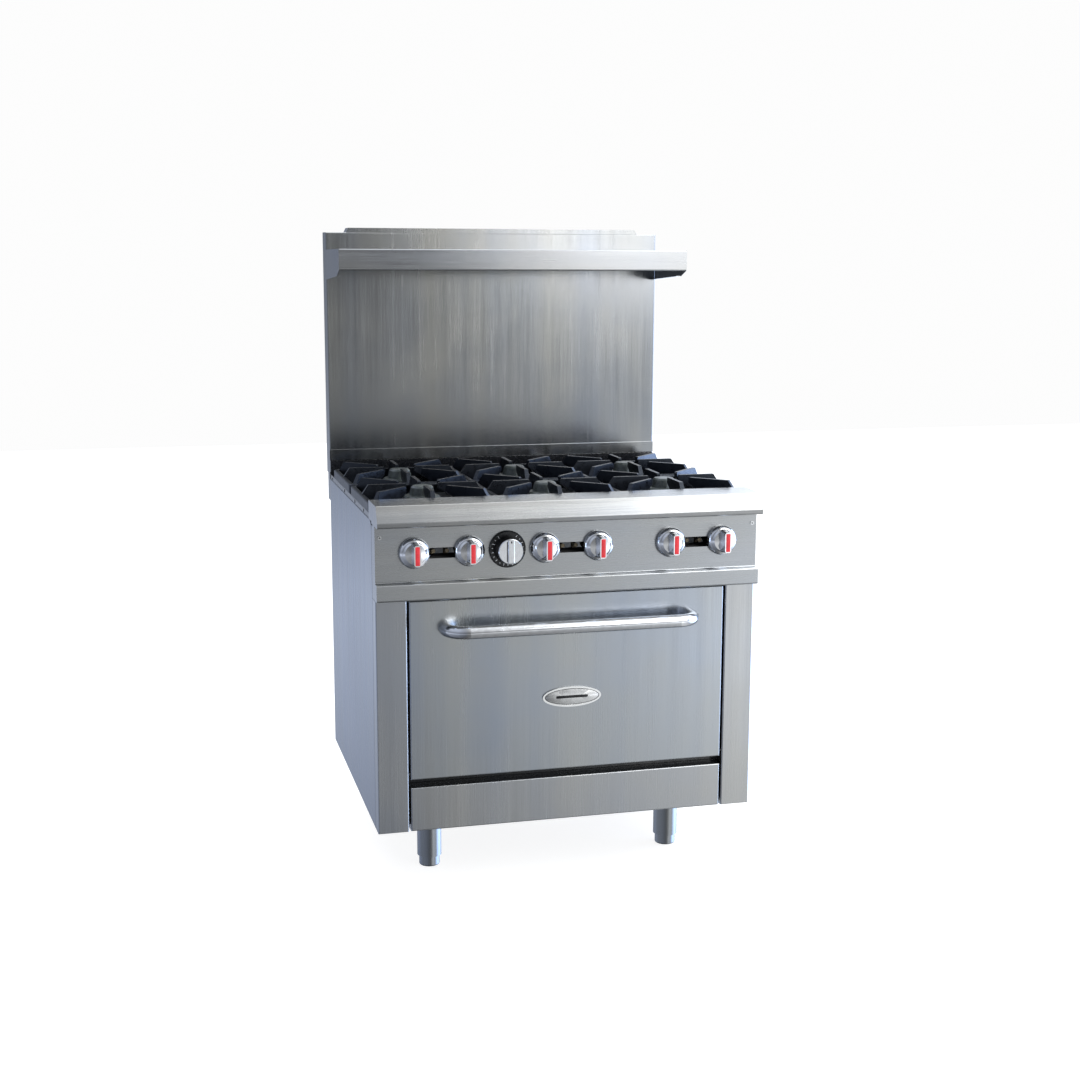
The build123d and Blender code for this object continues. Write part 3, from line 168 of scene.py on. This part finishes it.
def brushed_steel(name, colour, grain, roughness=0.30, streaks=0.06, clouds=0.08):
    """Brushed stainless sheet: fine grain in the bump, soft streaks and broad clouds in colour and gloss."""
    surface = Surface(name, colour, roughness, metallic=1.0)
    fine = surface.noise(620, grain, detail=3, rough=0.6)
    streak = surface.noise(46, grain, detail=4, rough=0.62)
    broad = surface.noise(9, grain, detail=2)
    cloud = surface.noise(2.6, detail=3, rough=0.55, warp=0.4)
    red, green, blue, _ = colour
    cool = (red * (1 - clouds), green * (1 - clouds * 0.55), blue * (1 + clouds * 0.35), 1.0)
    warm = (red * (1 + clouds * 0.8), green * (1 + clouds * 0.65), blue * (1 + clouds * 0.15), 1.0)
    tinted = surface.ramp(surface.sum(surface.sum(cloud, broad), 0.5, "MULTIPLY"), (0.36, cool), (0.64, warm))
    shade = surface.spread(surface.sum(streak, fine), 1 - streaks, 1 + streaks, 0.6, 1.4)
    grey = surface.add("ShaderNodeCombineColor")
    for socket in grey.inputs:
        surface.feed(shade, socket)
    surface.drive("Base Color", surface.mix(1.0, tinted, grey.outputs["Color"], "MULTIPLY"))
    gloss = surface.sum(surface.sum(streak, fine), cloud)
    surface.drive("Roughness", surface.spread(gloss, roughness - 0.06, roughness + 0.08, 1.1, 1.9))
    surface.bump(surface.sum(fine, surface.sum(streak, 0.6, "MULTIPLY")), 0.00012, 0.35)
    return surface.material


def chrome(name, colour=(0.80, 0.81, 0.83, 1.0), roughness=0.09):
    """Polished plating with faint wipe marks and a little haze."""
    surface = Surface(name, colour, roughness, metallic=1.0)
    haze = surface.noise(90, detail=3)
    wipes = surface.noise(300, (1.0, 1.0, 0.12), detail=2)
    gloss = surface.sum(haze, wipes)
    surface.drive("Roughness", surface.spread(gloss, roughness - 0.04, roughness + 0.07, 0.7, 1.3))
    dim, bright = lighter(colour, 0.94), lighter(colour, 1.04)
    surface.drive("Base Color", surface.ramp(haze, (0.35, dim), (0.65, bright)))
    surface.bump(wipes, 0.00004, 0.3)
    return surface.material


def cast_iron(name, colour, pits=0.0005):
    """Cast iron: a sandy skin, paler on the raised grain, with a painted bluish tint on its reflections that
    stands for blue light.
    """
    # painted light: the blue specular tint turns every reflection bluish, standing for the bluish light that
    # the iron catches
    blue_light_tint = {"Specular IOR Level": 0.50, "Specular Tint": (0.72, 0.82, 1.0, 1.0)}
    surface = Surface(name, colour, 0.30, **blue_light_tint)
    sand = surface.noise(420, detail=4, rough=0.65)
    lumps = surface.noise(70, detail=3)
    raised = surface.sum(lumps, sand, "MULTIPLY")
    worn = lighter(colour, 1.9)
    surface.drive("Base Color", surface.ramp(raised, (0.18, colour), (0.38, worn)))
    grain = surface.sum(lumps, sand)
    surface.drive("Roughness", surface.spread(grain, 0.24, 0.42, 0.7, 1.3))
    surface.bump(grain, pits, 0.5)
    return surface.material


def enamel(name, colour, speck, roughness=0.2):
    """Fired enamel: glossy, with an orange-peel skin and pale specks."""
    surface = Surface(name, colour, roughness, **{"Coat Weight": 0.5, "Coat Roughness": 0.12})
    peel = surface.noise(160, detail=2)
    specks = surface.cells(520)
    spotted = surface.ramp(specks, (0.10, speck), (0.17, colour))
    share = surface.spread(peel, 0.0, 0.5, 0.4, 0.7)
    surface.drive("Base Color", surface.mix(share, spotted, lighter(colour, 1.25)))
    surface.drive("Roughness", surface.spread(peel, roughness - 0.04, roughness + 0.1, 0.35, 0.65))
    surface.bump(peel, 0.0003, 0.25)
    return surface.material


def dull_metal(name, colour, roughness=0.45, spangle=34, metallic=1.0):
    """Coated, cast or plain metal: a mottled, spangled skin with scuffs."""
    surface = Surface(name, colour, roughness, metallic=metallic)
    flakes = surface.cells(spangle)
    scuffs = surface.noise(140, (1.0, 0.25, 1.0), detail=4, rough=0.65)
    mottle = surface.sum(surface.spread(flakes, 0.0, 0.5, 0.0, 0.9), scuffs)
    dim, bright = lighter(colour, 0.86), lighter(colour, 1.12)
    surface.drive("Base Color", surface.ramp(mottle, (0.35, dim), (0.85, bright)))
    surface.drive("Roughness", surface.spread(mottle, roughness - 0.08, roughness + 0.12, 0.3, 1.0))
    surface.bump(scuffs, 0.0002, 0.3)
    return surface.material


def paint(name, colour, roughness=0.35):
    """Enamel paint with a slight texture and uneven gloss."""
    surface = Surface(name, colour, roughness)
    skin = surface.noise(500, detail=3)
    patches = surface.noise(60, detail=2)
    dim, bright = lighter(colour, 0.88), lighter(colour, 1.1)
    surface.drive("Base Color", surface.ramp(patches, (0.35, dim), (0.65, bright)))
    surface.drive("Roughness", surface.spread(skin, roughness - 0.08, roughness + 0.1, 0.3, 0.7))
    surface.bump(skin, 0.00015, 0.3)
    return surface.material


def wool(name, colour):
    """Mineral wool: matted fibres with lighter and darker tufts."""
    surface = Surface(name, colour, 0.95)
    fibres = surface.noise(240, (1.0, 1.0, 0.3), detail=6, rough=0.75, warp=1.2)
    tufts = surface.noise(30, detail=4)
    matted = surface.sum(fibres, tufts, "MULTIPLY")
    dim, bright = lighter(colour, 0.6), lighter(colour, 1.2)
    surface.drive("Base Color", surface.ramp(matted, (0.12, dim), (0.42, bright)))
    surface.bump(surface.sum(fibres, tufts), 0.003, 0.9)
    return surface.material


def woven(name, colour):
    """Braided glass fibre: two crossing sets of strands."""
    surface = Surface(name, colour, 0.85)
    strands = []
    for stretch in ((1.0, 1.0, 1.0), (-1.0, 1.0, 1.0)):
        wave = surface.add("ShaderNodeTexWave", bands_direction="DIAGONAL")
        wave.inputs["Scale"].default_value = 130
        wave.inputs["Distortion"].default_value = 0.6
        surface.feed(surface.stretched(stretch), wave.inputs["Vector"])
        strands.append(wave.outputs["Fac"])
    weave = surface.sum(*strands, "MULTIPLY")
    dim, bright = lighter(colour, 0.55), lighter(colour, 1.3)
    surface.drive("Base Color", surface.ramp(weave, (0.1, dim), (0.8, bright)))
    surface.bump(weave, 0.0008, 0.8)
    return surface.material


STEEL = (0.40, 0.405, 0.41, 1.0)
FINISHES = {
    "side_steel": brushed_steel("side_steel", (0.34, 0.365, 0.405, 1.0), UPRIGHT, 0.25),
    "front_steel": brushed_steel("front_steel", STEEL, UPRIGHT, 0.23),
    "door_steel": brushed_steel("door_steel", (0.385, 0.40, 0.415, 1.0), UPRIGHT, 0.22, clouds=0.12),
    "panel_steel": brushed_steel("panel_steel", (0.40, 0.405, 0.405, 1.0), SIDEWAYS, 0.26),
    "ledge_steel": brushed_steel("ledge_steel", (0.41, 0.413, 0.415, 1.0), SIDEWAYS, 0.24),
    "backguard_steel": brushed_steel(
        "backguard_steel", (0.365, 0.368, 0.365, 1.0), UPRIGHT, 0.21, streaks=0.025, clouds=0.10
    ),
    "shelf_steel": brushed_steel("shelf_steel", (0.39, 0.393, 0.396, 1.0), SIDEWAYS, 0.22),
    "leg_steel": brushed_steel("leg_steel", (0.27, 0.28, 0.29, 1.0), UPRIGHT, 0.26),
    "burner_steel": brushed_steel("burner_steel", (0.42, 0.42, 0.41, 1.0), (1.0, 0.02, 1.0), 0.40),
    "hinge_steel": dull_metal("hinge_steel", (0.42, 0.42, 0.43, 1.0), 0.38, 60),
    "black_enamel": enamel("black_enamel", tone(24, 25, 28), tone(62, 64, 70)),
    "oven_enamel": enamel("oven_enamel", tone(38, 42, 52), tone(130, 136, 150), 0.24),
    # both irons carry the painted blue reflection tint; the grates' black is also tinted slightly blue as
    # painted light
    "cast_iron": cast_iron("cast_iron", tone(8, 9, 12)),
    "burner_iron": cast_iron("burner_iron", tone(64, 68, 64), 0.0007),
    "aluminised_steel": dull_metal("aluminised_steel", (0.42, 0.43, 0.44, 1.0), 0.42),
    "knob_chrome": chrome("knob_chrome"),
    "thermostat_chrome": chrome("thermostat_chrome", (0.72, 0.73, 0.75, 1.0), 0.16),
    "handle_steel": chrome("handle_steel", (0.74, 0.75, 0.77, 1.0), 0.13),
    "rack_chrome": chrome("rack_chrome", (0.74, 0.75, 0.77, 1.0), 0.12),
    "screw_steel": chrome("screw_steel", (0.62, 0.63, 0.64, 1.0), 0.18),
    "badge_metal": chrome("badge_metal", (0.84, 0.84, 0.83, 1.0), 0.14),
    "bezel_black": paint("bezel_black", tone(16, 17, 19), 0.28),
    "black_pipe": paint("black_pipe", tone(30, 30, 32), 0.5),
    "brass": dull_metal("brass", (0.20, 0.17, 0.12, 1.0), 0.50, 90),
    "valve_aluminium": dull_metal("valve_aluminium", (0.16, 0.165, 0.17, 1.0), 0.50, 80),
    "mineral_wool": wool("mineral_wool", tone(196, 182, 140)),
    "woven_gasket": woven("woven_gasket", tone(120, 122, 122)),
}


def dress_frame():
    """Gives each CAD node its finish, and shades its curved faces smoothly."""
    for subpart in frame["record"]["subparts"]:
        node = NODES[subpart["node"]]
        for slot in node.material_slots:
            slot.material = FINISHES[subpart["material_slot"]]
        node.data.shade_smooth()
        node.data.set_sharp_from_angle(angle=SMOOTH_ANGLE)


# ---------------------------------------------------------------- new pieces
LEAF = 0.0004                     # thickness of a printed or inlaid mark
LEAF_EDGE = LEAF / 4
BAR_WIDTH, BAR_LENGTH, BAR_CORNER = 0.0105, 0.043, 0.0015
MARKS, MARK_START, MARK_STEP, MARK_RADIUS = 19, 35, 16, 0.0360
MARK_WIDTH, LONG_MARK, SHORT_MARK = 0.0011, 0.0050, 0.0028
SKIRT_FOOT, SKIRT_NECK = 0.0313, 0.0268
SKIRT_BACK, SKIRT_FRONT, SKIRT_WALL = 0.0007, 0.0277, 0.0003
POINTER_WIDTH, POINTER_LENGTH, POINTER_SIDE = 0.0018, 0.046, 0.0092
NOTCH_WIDTH, NOTCH_LENGTH, NOTCH_RISE = 0.0030, 0.0050, 0.0225
BAND_RISE = 0.004                 # the thermostat's grip stands this far out of its disc
BADGE_RIM, BADGE_LINE = 0.0050, 0.0014
BADGE_SINK, BADGE_PLATE, BADGE_BAR_RISE = 0.0010, 0.0003, 0.0005
BADGE_BAR = (0.078, 0.0065, 0.003)
SCREW_X, SCREW_Z, SCREW_FACE = 0.446, 0.849, -0.38805
CROSS_LENGTH, CROSS_TURN = 0.0052, 0.35

RED_INLAY = paint("red_inlay", tone(206, 44, 52), 0.3)
DIAL_WHITE = paint("dial_white", tone(214, 216, 218), 0.4)
DIAL_BLACK = paint("dial_black", tone(14, 14, 16), 0.35)
BADGE_SATIN = chrome("badge_satin", (0.80, 0.80, 0.79, 1.0), 0.26)


def rounded_outline(width, height, corner, steps=5):
    """Points round a rounded rectangle, anticlockwise seen from the front, about its middle."""
    points = []
    for turn, (side_x, side_z) in enumerate(((1, 1), (-1, 1), (-1, -1), (1, -1))):
        for step in range(steps + 1):
            angle = math.radians(90 * (turn + step / steps))
            x = side_x * (width / 2 - corner) + corner * math.cos(angle)
            z = side_z * (height / 2 - corner) + corner * math.sin(angle)
            points.append((x, z))
    return points


def oval_outline(half_x, half_z, steps=72):
    turns = [2 * math.pi * step / steps for step in range(steps)]
    return [(half_x * math.cos(turn), half_z * math.sin(turn)) for turn in turns]


def plaque(name, outline, centre, depth, edge, crown=0.0):
    """A thin plate facing -Y: its back at centre, its front rim rounded by edge, and its face crowned."""
    mesh = bmesh.new()
    reach = max(abs(value) for point in outline for value in point)
    rings = [(0.0, 0.0), (depth - edge, 0.0), (depth - edge * 0.3, edge * 0.3), (depth, edge)]
    rings += [(depth + crown * share, edge + (reach - edge) * 0.9 * share) for share in (0.5, 0.8, 1.0)]
    loops = []
    for rise, inset in rings:
        scale_x, scale_z = (
            max(0.02, 1 - inset / max(abs(point[axis]) for point in outline)) for axis in (0, 1)
        )
        loops.append([
            mesh.verts.new((centre[0] + x * scale_x, centre[1] - rise, centre[2] + z * scale_z))
            for x, z in outline
        ])
    count = len(outline)
    for inner, outer in zip(loops, loops[1:]):
        for index in range(count):
            after = (index + 1) % count
            mesh.faces.new((inner[index], inner[after], outer[after], outer[index]))
    mesh.faces.new(loops[-1])
    mesh.faces.new(reversed(loops[0]))
    return from_bmesh(name, mesh)


def from_bmesh(name, mesh):
    bmesh.ops.recalc_face_normals(mesh, faces=mesh.faces)
    data = bpy.data.meshes.new(name)
    mesh.to_mesh(data)
    mesh.free()
    data.shade_smooth()
    data.set_sharp_from_angle(angle=SMOOTH_ANGLE)
    piece = bpy.data.objects.new(name, data)
    bpy.context.scene.collection.objects.link(piece)
    return piece


def fit(piece, material, body):
    piece.data.materials.append(material)
    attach(piece, body)
    return piece


def add_knob_inlays():
    """A red bar let into the front of each burner knob's grip."""
    for number in range(1, 7):
        knob = f"burner_knob_{number}"
        low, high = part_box(knob)
        face = Vector(((low.x + high.x) / 2, low.y, (low.z + high.z) / 2))
        outline = rounded_outline(BAR_WIDTH, BAR_LENGTH, BAR_CORNER)
        inlay = plaque(f"{knob}_inlay", outline, face + Vector((0, LEAF / 2, 0)), LEAF, LEAF / 2)
        fit(inlay, RED_INLAY, f"{knob}_body")


def band(name, profile, centre, steps=72):
    """A ring about a line along Y: profile gives (radius, distance in front of centre) round its section."""
    mesh = bmesh.new()
    loops = []
    for radius, ahead in profile:
        loops.append([
            mesh.verts.new((centre.x + radius * cosine, centre.y - ahead, centre.z + radius * sine))
            for cosine, sine in oval_outline(1.0, 1.0, steps)
        ])
    for first, second in zip(loops, loops[1:] + loops[:1]):
        for index in range(steps):
            after = (index + 1) % steps
            mesh.faces.new((first[index], first[after], second[after], second[index]))
    return from_bmesh(name, mesh)


def add_bars(name, bars, depth):
    """Thin bars facing -Y in one piece: each is (centre, width, height, turn about Y)."""
    mesh = bmesh.new()
    for centre, width, height, turn in bars:
        stretch = Matrix.Diagonal((width, depth, height, 1))
        shape = Matrix.Translation(centre) @ Matrix.Rotation(turn, 4, "Y") @ stretch
        bmesh.ops.create_cube(mesh, size=1.0, matrix=shape)
    return from_bmesh(name, mesh)


def add_thermostat_details():
    """Pale marks on the bezel, the knob's black conical body and the dark line beside its grip."""
    low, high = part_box("thermostat_bezel")
    face = Vector(((low.x + high.x) / 2, low.y, (low.z + high.z) / 2))
    marks = []
    for number in range(MARKS):
        turn = math.radians(MARK_START + number * MARK_STEP)
        place = face + Vector((MARK_RADIUS * math.sin(turn), 0, MARK_RADIUS * math.cos(turn)))
        marks.append((place, MARK_WIDTH, SHORT_MARK if number % 2 else LONG_MARK, turn))
    fit(add_bars("dial_marks", marks, LEAF), DIAL_WHITE, "root")

    skirt = [
        (SKIRT_FOOT - SKIRT_WALL, SKIRT_BACK), (SKIRT_FOOT, SKIRT_BACK),
        (SKIRT_NECK, SKIRT_FRONT), (SKIRT_NECK - SKIRT_WALL, SKIRT_FRONT),
    ]
    fit(band("thermostat_skirt", skirt, face), DIAL_BLACK, "thermostat_knob_body")
    knob_low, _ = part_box("thermostat_knob")
    pointer = Vector((face.x - POINTER_SIDE, knob_low.y + BAND_RISE, face.z))
    notch = Vector((face.x, knob_low.y + LEAF_EDGE, face.z + NOTCH_RISE))
    lines = [(pointer, POINTER_WIDTH, POINTER_LENGTH, 0.0), (notch, NOTCH_WIDTH, NOTCH_LENGTH, 0.0)]
    fit(add_bars("thermostat_line", lines, LEAF), DIAL_BLACK, "thermostat_knob_body")


def add_badge_details():
    """A dark line round the blank oval of the door's badge, and a plain bar across its middle."""
    low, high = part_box("door_badge")
    centre = Vector(((low.x + high.x) / 2, low.y + BADGE_SINK, (low.z + high.z) / 2))
    half_x, half_z = (high.x - low.x) / 2 - BADGE_RIM, (high.z - low.z) / 2 - BADGE_RIM
    field = plaque("badge_field", oval_outline(half_x, half_z), centre, LEAF / 2, LEAF_EDGE)
    fit(field, DIAL_BLACK, "oven_door")

    centre = centre + Vector((0, -LEAF / 2, 0))
    inner = oval_outline(half_x - BADGE_LINE, half_z - BADGE_LINE)
    plate = plaque("badge_plate", inner, centre, BADGE_PLATE, LEAF_EDGE, crown=BADGE_PLATE)
    fit(plate, BADGE_SATIN, "oven_door")

    bar_place = centre + Vector((0, -BADGE_BAR_RISE, 0))
    bar = plaque("badge_bar", rounded_outline(*BADGE_BAR), bar_place, BADGE_PLATE, LEAF_EDGE)
    fit(bar, DIAL_BLACK, "oven_door")


def add_painted_screw_shade():
    """A dark cross in the head of both screws on the control panel: painted shade standing for the cross
    recess.
    """
    bars = []
    for side in (-1, 1):
        place = Vector((side * SCREW_X, SCREW_FACE, SCREW_Z))
        for turn in (CROSS_TURN, CROSS_TURN + math.pi / 2):
            bars.append((place, MARK_WIDTH, CROSS_LENGTH, turn))
    # painted shade: flat dark bars where the screws' cross recesses would lie in shade
    fit(add_bars("painted_screw_shade", bars, LEAF), DIAL_BLACK, "root")


# ---------------------------------------------------------------- studio
CAMERA_PLACE = Vector((-0.984, -3.862, 1.459))
CAMERA_YAW, CAMERA_PITCH, CAMERA_ROLL = (math.radians(angle) for angle in (14.66, -9.94, 0.17))
CAMERA_LENS = 52.92
BACKDROP, FLOOR_GLOW = 0.98, 0.86


def add_camera():
    data = bpy.data.cameras.new("camera")
    data.lens = CAMERA_LENS
    data.sensor_width = 36.0
    camera = bpy.data.objects.new("camera", data)
    turned = Matrix.Rotation(-CAMERA_YAW, 4, "Z") @ Matrix.Rotation(math.pi / 2 + CAMERA_PITCH, 4, "X")
    camera.matrix_world = Matrix.Translation(CAMERA_PLACE) @ turned @ Matrix.Rotation(CAMERA_ROLL, 4, "Z")
    bpy.context.scene.collection.objects.link(camera)
    bpy.context.scene.camera = camera


def add_softbox(name, place, target, size, power, colour=(1.0, 1.0, 1.0)):
    """A rectangular area light at place, facing target."""
    data = bpy.data.lights.new(name, "AREA")
    data.shape = "RECTANGLE"
    data.size, data.size_y = size
    data.energy = power
    data.color = colour
    light = bpy.data.objects.new(name, data)
    light.visible_camera = False
    place = Vector(place)
    light.rotation_euler = (Vector(target) - place).to_track_quat("-Z", "Y").to_euler()
    light.location = place
    bpy.context.scene.collection.objects.link(light)


def blend_along(tree, source, stops):
    """A colour that changes evenly between (value, colour) stops, for a value from -1 to 1."""
    share = tree.nodes.new("ShaderNodeMapRange")
    share.inputs["From Min"].default_value = -1.0
    tree.links.new(source, share.inputs["Value"])
    ramp = tree.nodes.new("ShaderNodeValToRGB")
    elements = ramp.color_ramp.elements
    while len(elements) < len(stops):
        elements.new(0.5)
    for element, (value, colour) in zip(elements, stops):
        element.position = (value + 1) / 2
        element.color = (*colour, 1.0)
    tree.links.new(share.outputs["Result"], ramp.inputs["Fac"])
    return ramp.outputs["Color"]


def multiplied(tree, first, second):
    """The product of two colours."""
    product = tree.nodes.new("ShaderNodeMix")
    product.data_type = "RGBA"
    product.blend_type = "MULTIPLY"
    product.inputs[0].default_value = 1.0
    tree.links.new(first, product.inputs[6])
    tree.links.new(second, product.inputs[7])
    return product.outputs[2]


def add_world():
    """A room, seen only in reflections, that is dim on the left and bright on the right; a white backdrop."""
    world = bpy.data.worlds.new("studio")
    bpy.context.scene.world = world
    world.use_nodes = True
    tree = world.node_tree
    room = tree.nodes["Background"]
    place = tree.nodes.new("ShaderNodeTexCoord")
    split = tree.nodes.new("ShaderNodeSeparateXYZ")
    tree.links.new(place.outputs["Generated"], split.inputs[0])

    horizon = blend_along(tree, split.outputs["X"], (
        (-1.00, (0.52, 0.57, 0.68)), (-0.60, (0.40, 0.44, 0.53)), (-0.15, (0.27, 0.29, 0.33)),
        (0.05, (0.28, 0.285, 0.29)), (0.15, (0.45, 0.46, 0.47)), (0.25, (0.74, 0.76, 0.78)),
        (0.345, (1.05, 1.10, 1.15)), (0.39, (1.62, 1.66, 1.70)), (0.78, (1.00, 1.05, 1.15)),
        (0.88, (2.40, 3.10, 4.40)), (0.94, (3.60, 4.70, 7.00)), (1.00, (3.80, 5.00, 7.40)),
    ))
    height = blend_along(tree, split.outputs["Z"], (
        (-1.00, (0.40, 0.40, 0.40)), (-0.37, (0.66, 0.66, 0.66)), (-0.21, (1.42, 1.42, 1.42)),
        (-0.13, (0.86, 0.86, 0.86)), (-0.05, (0.54, 0.54, 0.54)), (0.02, (0.50, 0.50, 0.50)),
        (0.30, (0.80, 0.80, 0.80)), (0.75, (1.40, 1.40, 1.40)), (1.00, (1.60, 1.60, 1.60)),
    ))
    depth = blend_along(tree, split.outputs["Y"], (
        (-1.00, (1.0, 1.0, 1.0)), (0.10, (1.0, 1.0, 1.0)),
        (0.70, (1.60, 1.66, 1.80)), (1.00, (1.60, 1.66, 1.80)),
    ))
    shaded = multiplied(tree, multiplied(tree, horizon, height), depth)
    tree.links.new(shaded, room.inputs["Color"])

    backdrop = tree.nodes.new("ShaderNodeBackground")
    backdrop.inputs["Color"].default_value = (BACKDROP, BACKDROP, BACKDROP, 1)
    path = tree.nodes.new("ShaderNodeLightPath")
    seen = tree.nodes.new("ShaderNodeMixShader")
    tree.links.new(path.outputs["Is Camera Ray"], seen.inputs[0])
    tree.links.new(room.outputs[0], seen.inputs[1])
    tree.links.new(backdrop.outputs[0], seen.inputs[2])
    tree.links.new(seen.outputs[0], tree.nodes["World Output"].inputs["Surface"])


def add_floor():
    """A white floor that glows a little, so that it keeps only a faint shadow."""
    mesh = bmesh.new()
    bmesh.ops.create_grid(mesh, x_segments=4, y_segments=4, size=9.0)
    floor = from_bmesh("floor", mesh)
    surface = Surface("studio_floor", (0.40, 0.39, 0.37, 1.0), 0.6)
    surface.drive("Roughness", surface.spread(surface.noise(3), 0.55, 0.7))
    surface.shader.inputs["Emission Color"].default_value = (1.0, 1.0, 1.0, 1.0)
    surface.shader.inputs["Emission Strength"].default_value = FLOOR_GLOW
    floor.data.materials.append(surface.material)
    floor.visible_glossy = False


def add_studio():
    add_camera()
    add_world()
    add_floor()
    add_softbox("key", (1.95, -2.9, 2.2), (0.4, 0.0, 0.9), (2.0, 2.0), 27)
    add_softbox("canopy", (2.0, -1.7, 3.3), (0.7, -0.3, 0.9), (2.2, 1.8), 27)
    add_softbox("overhead", (0.0, 1.6, 3.4), (0.0, 1.2, 0.0), (4.5, 3.0), 60)
    add_softbox("strip", (0.93, -3.1, 1.74), (0.2, 0.1, 1.46), (0.64, 0.40), 2.0)
    scene = bpy.context.scene
    scene.view_settings.view_transform = "Standard"
    scene.view_settings.look = "None"


dress_frame()
add_knob_inlays()
add_thermostat_details()
add_badge_details()
add_painted_screw_shade()
add_studio()
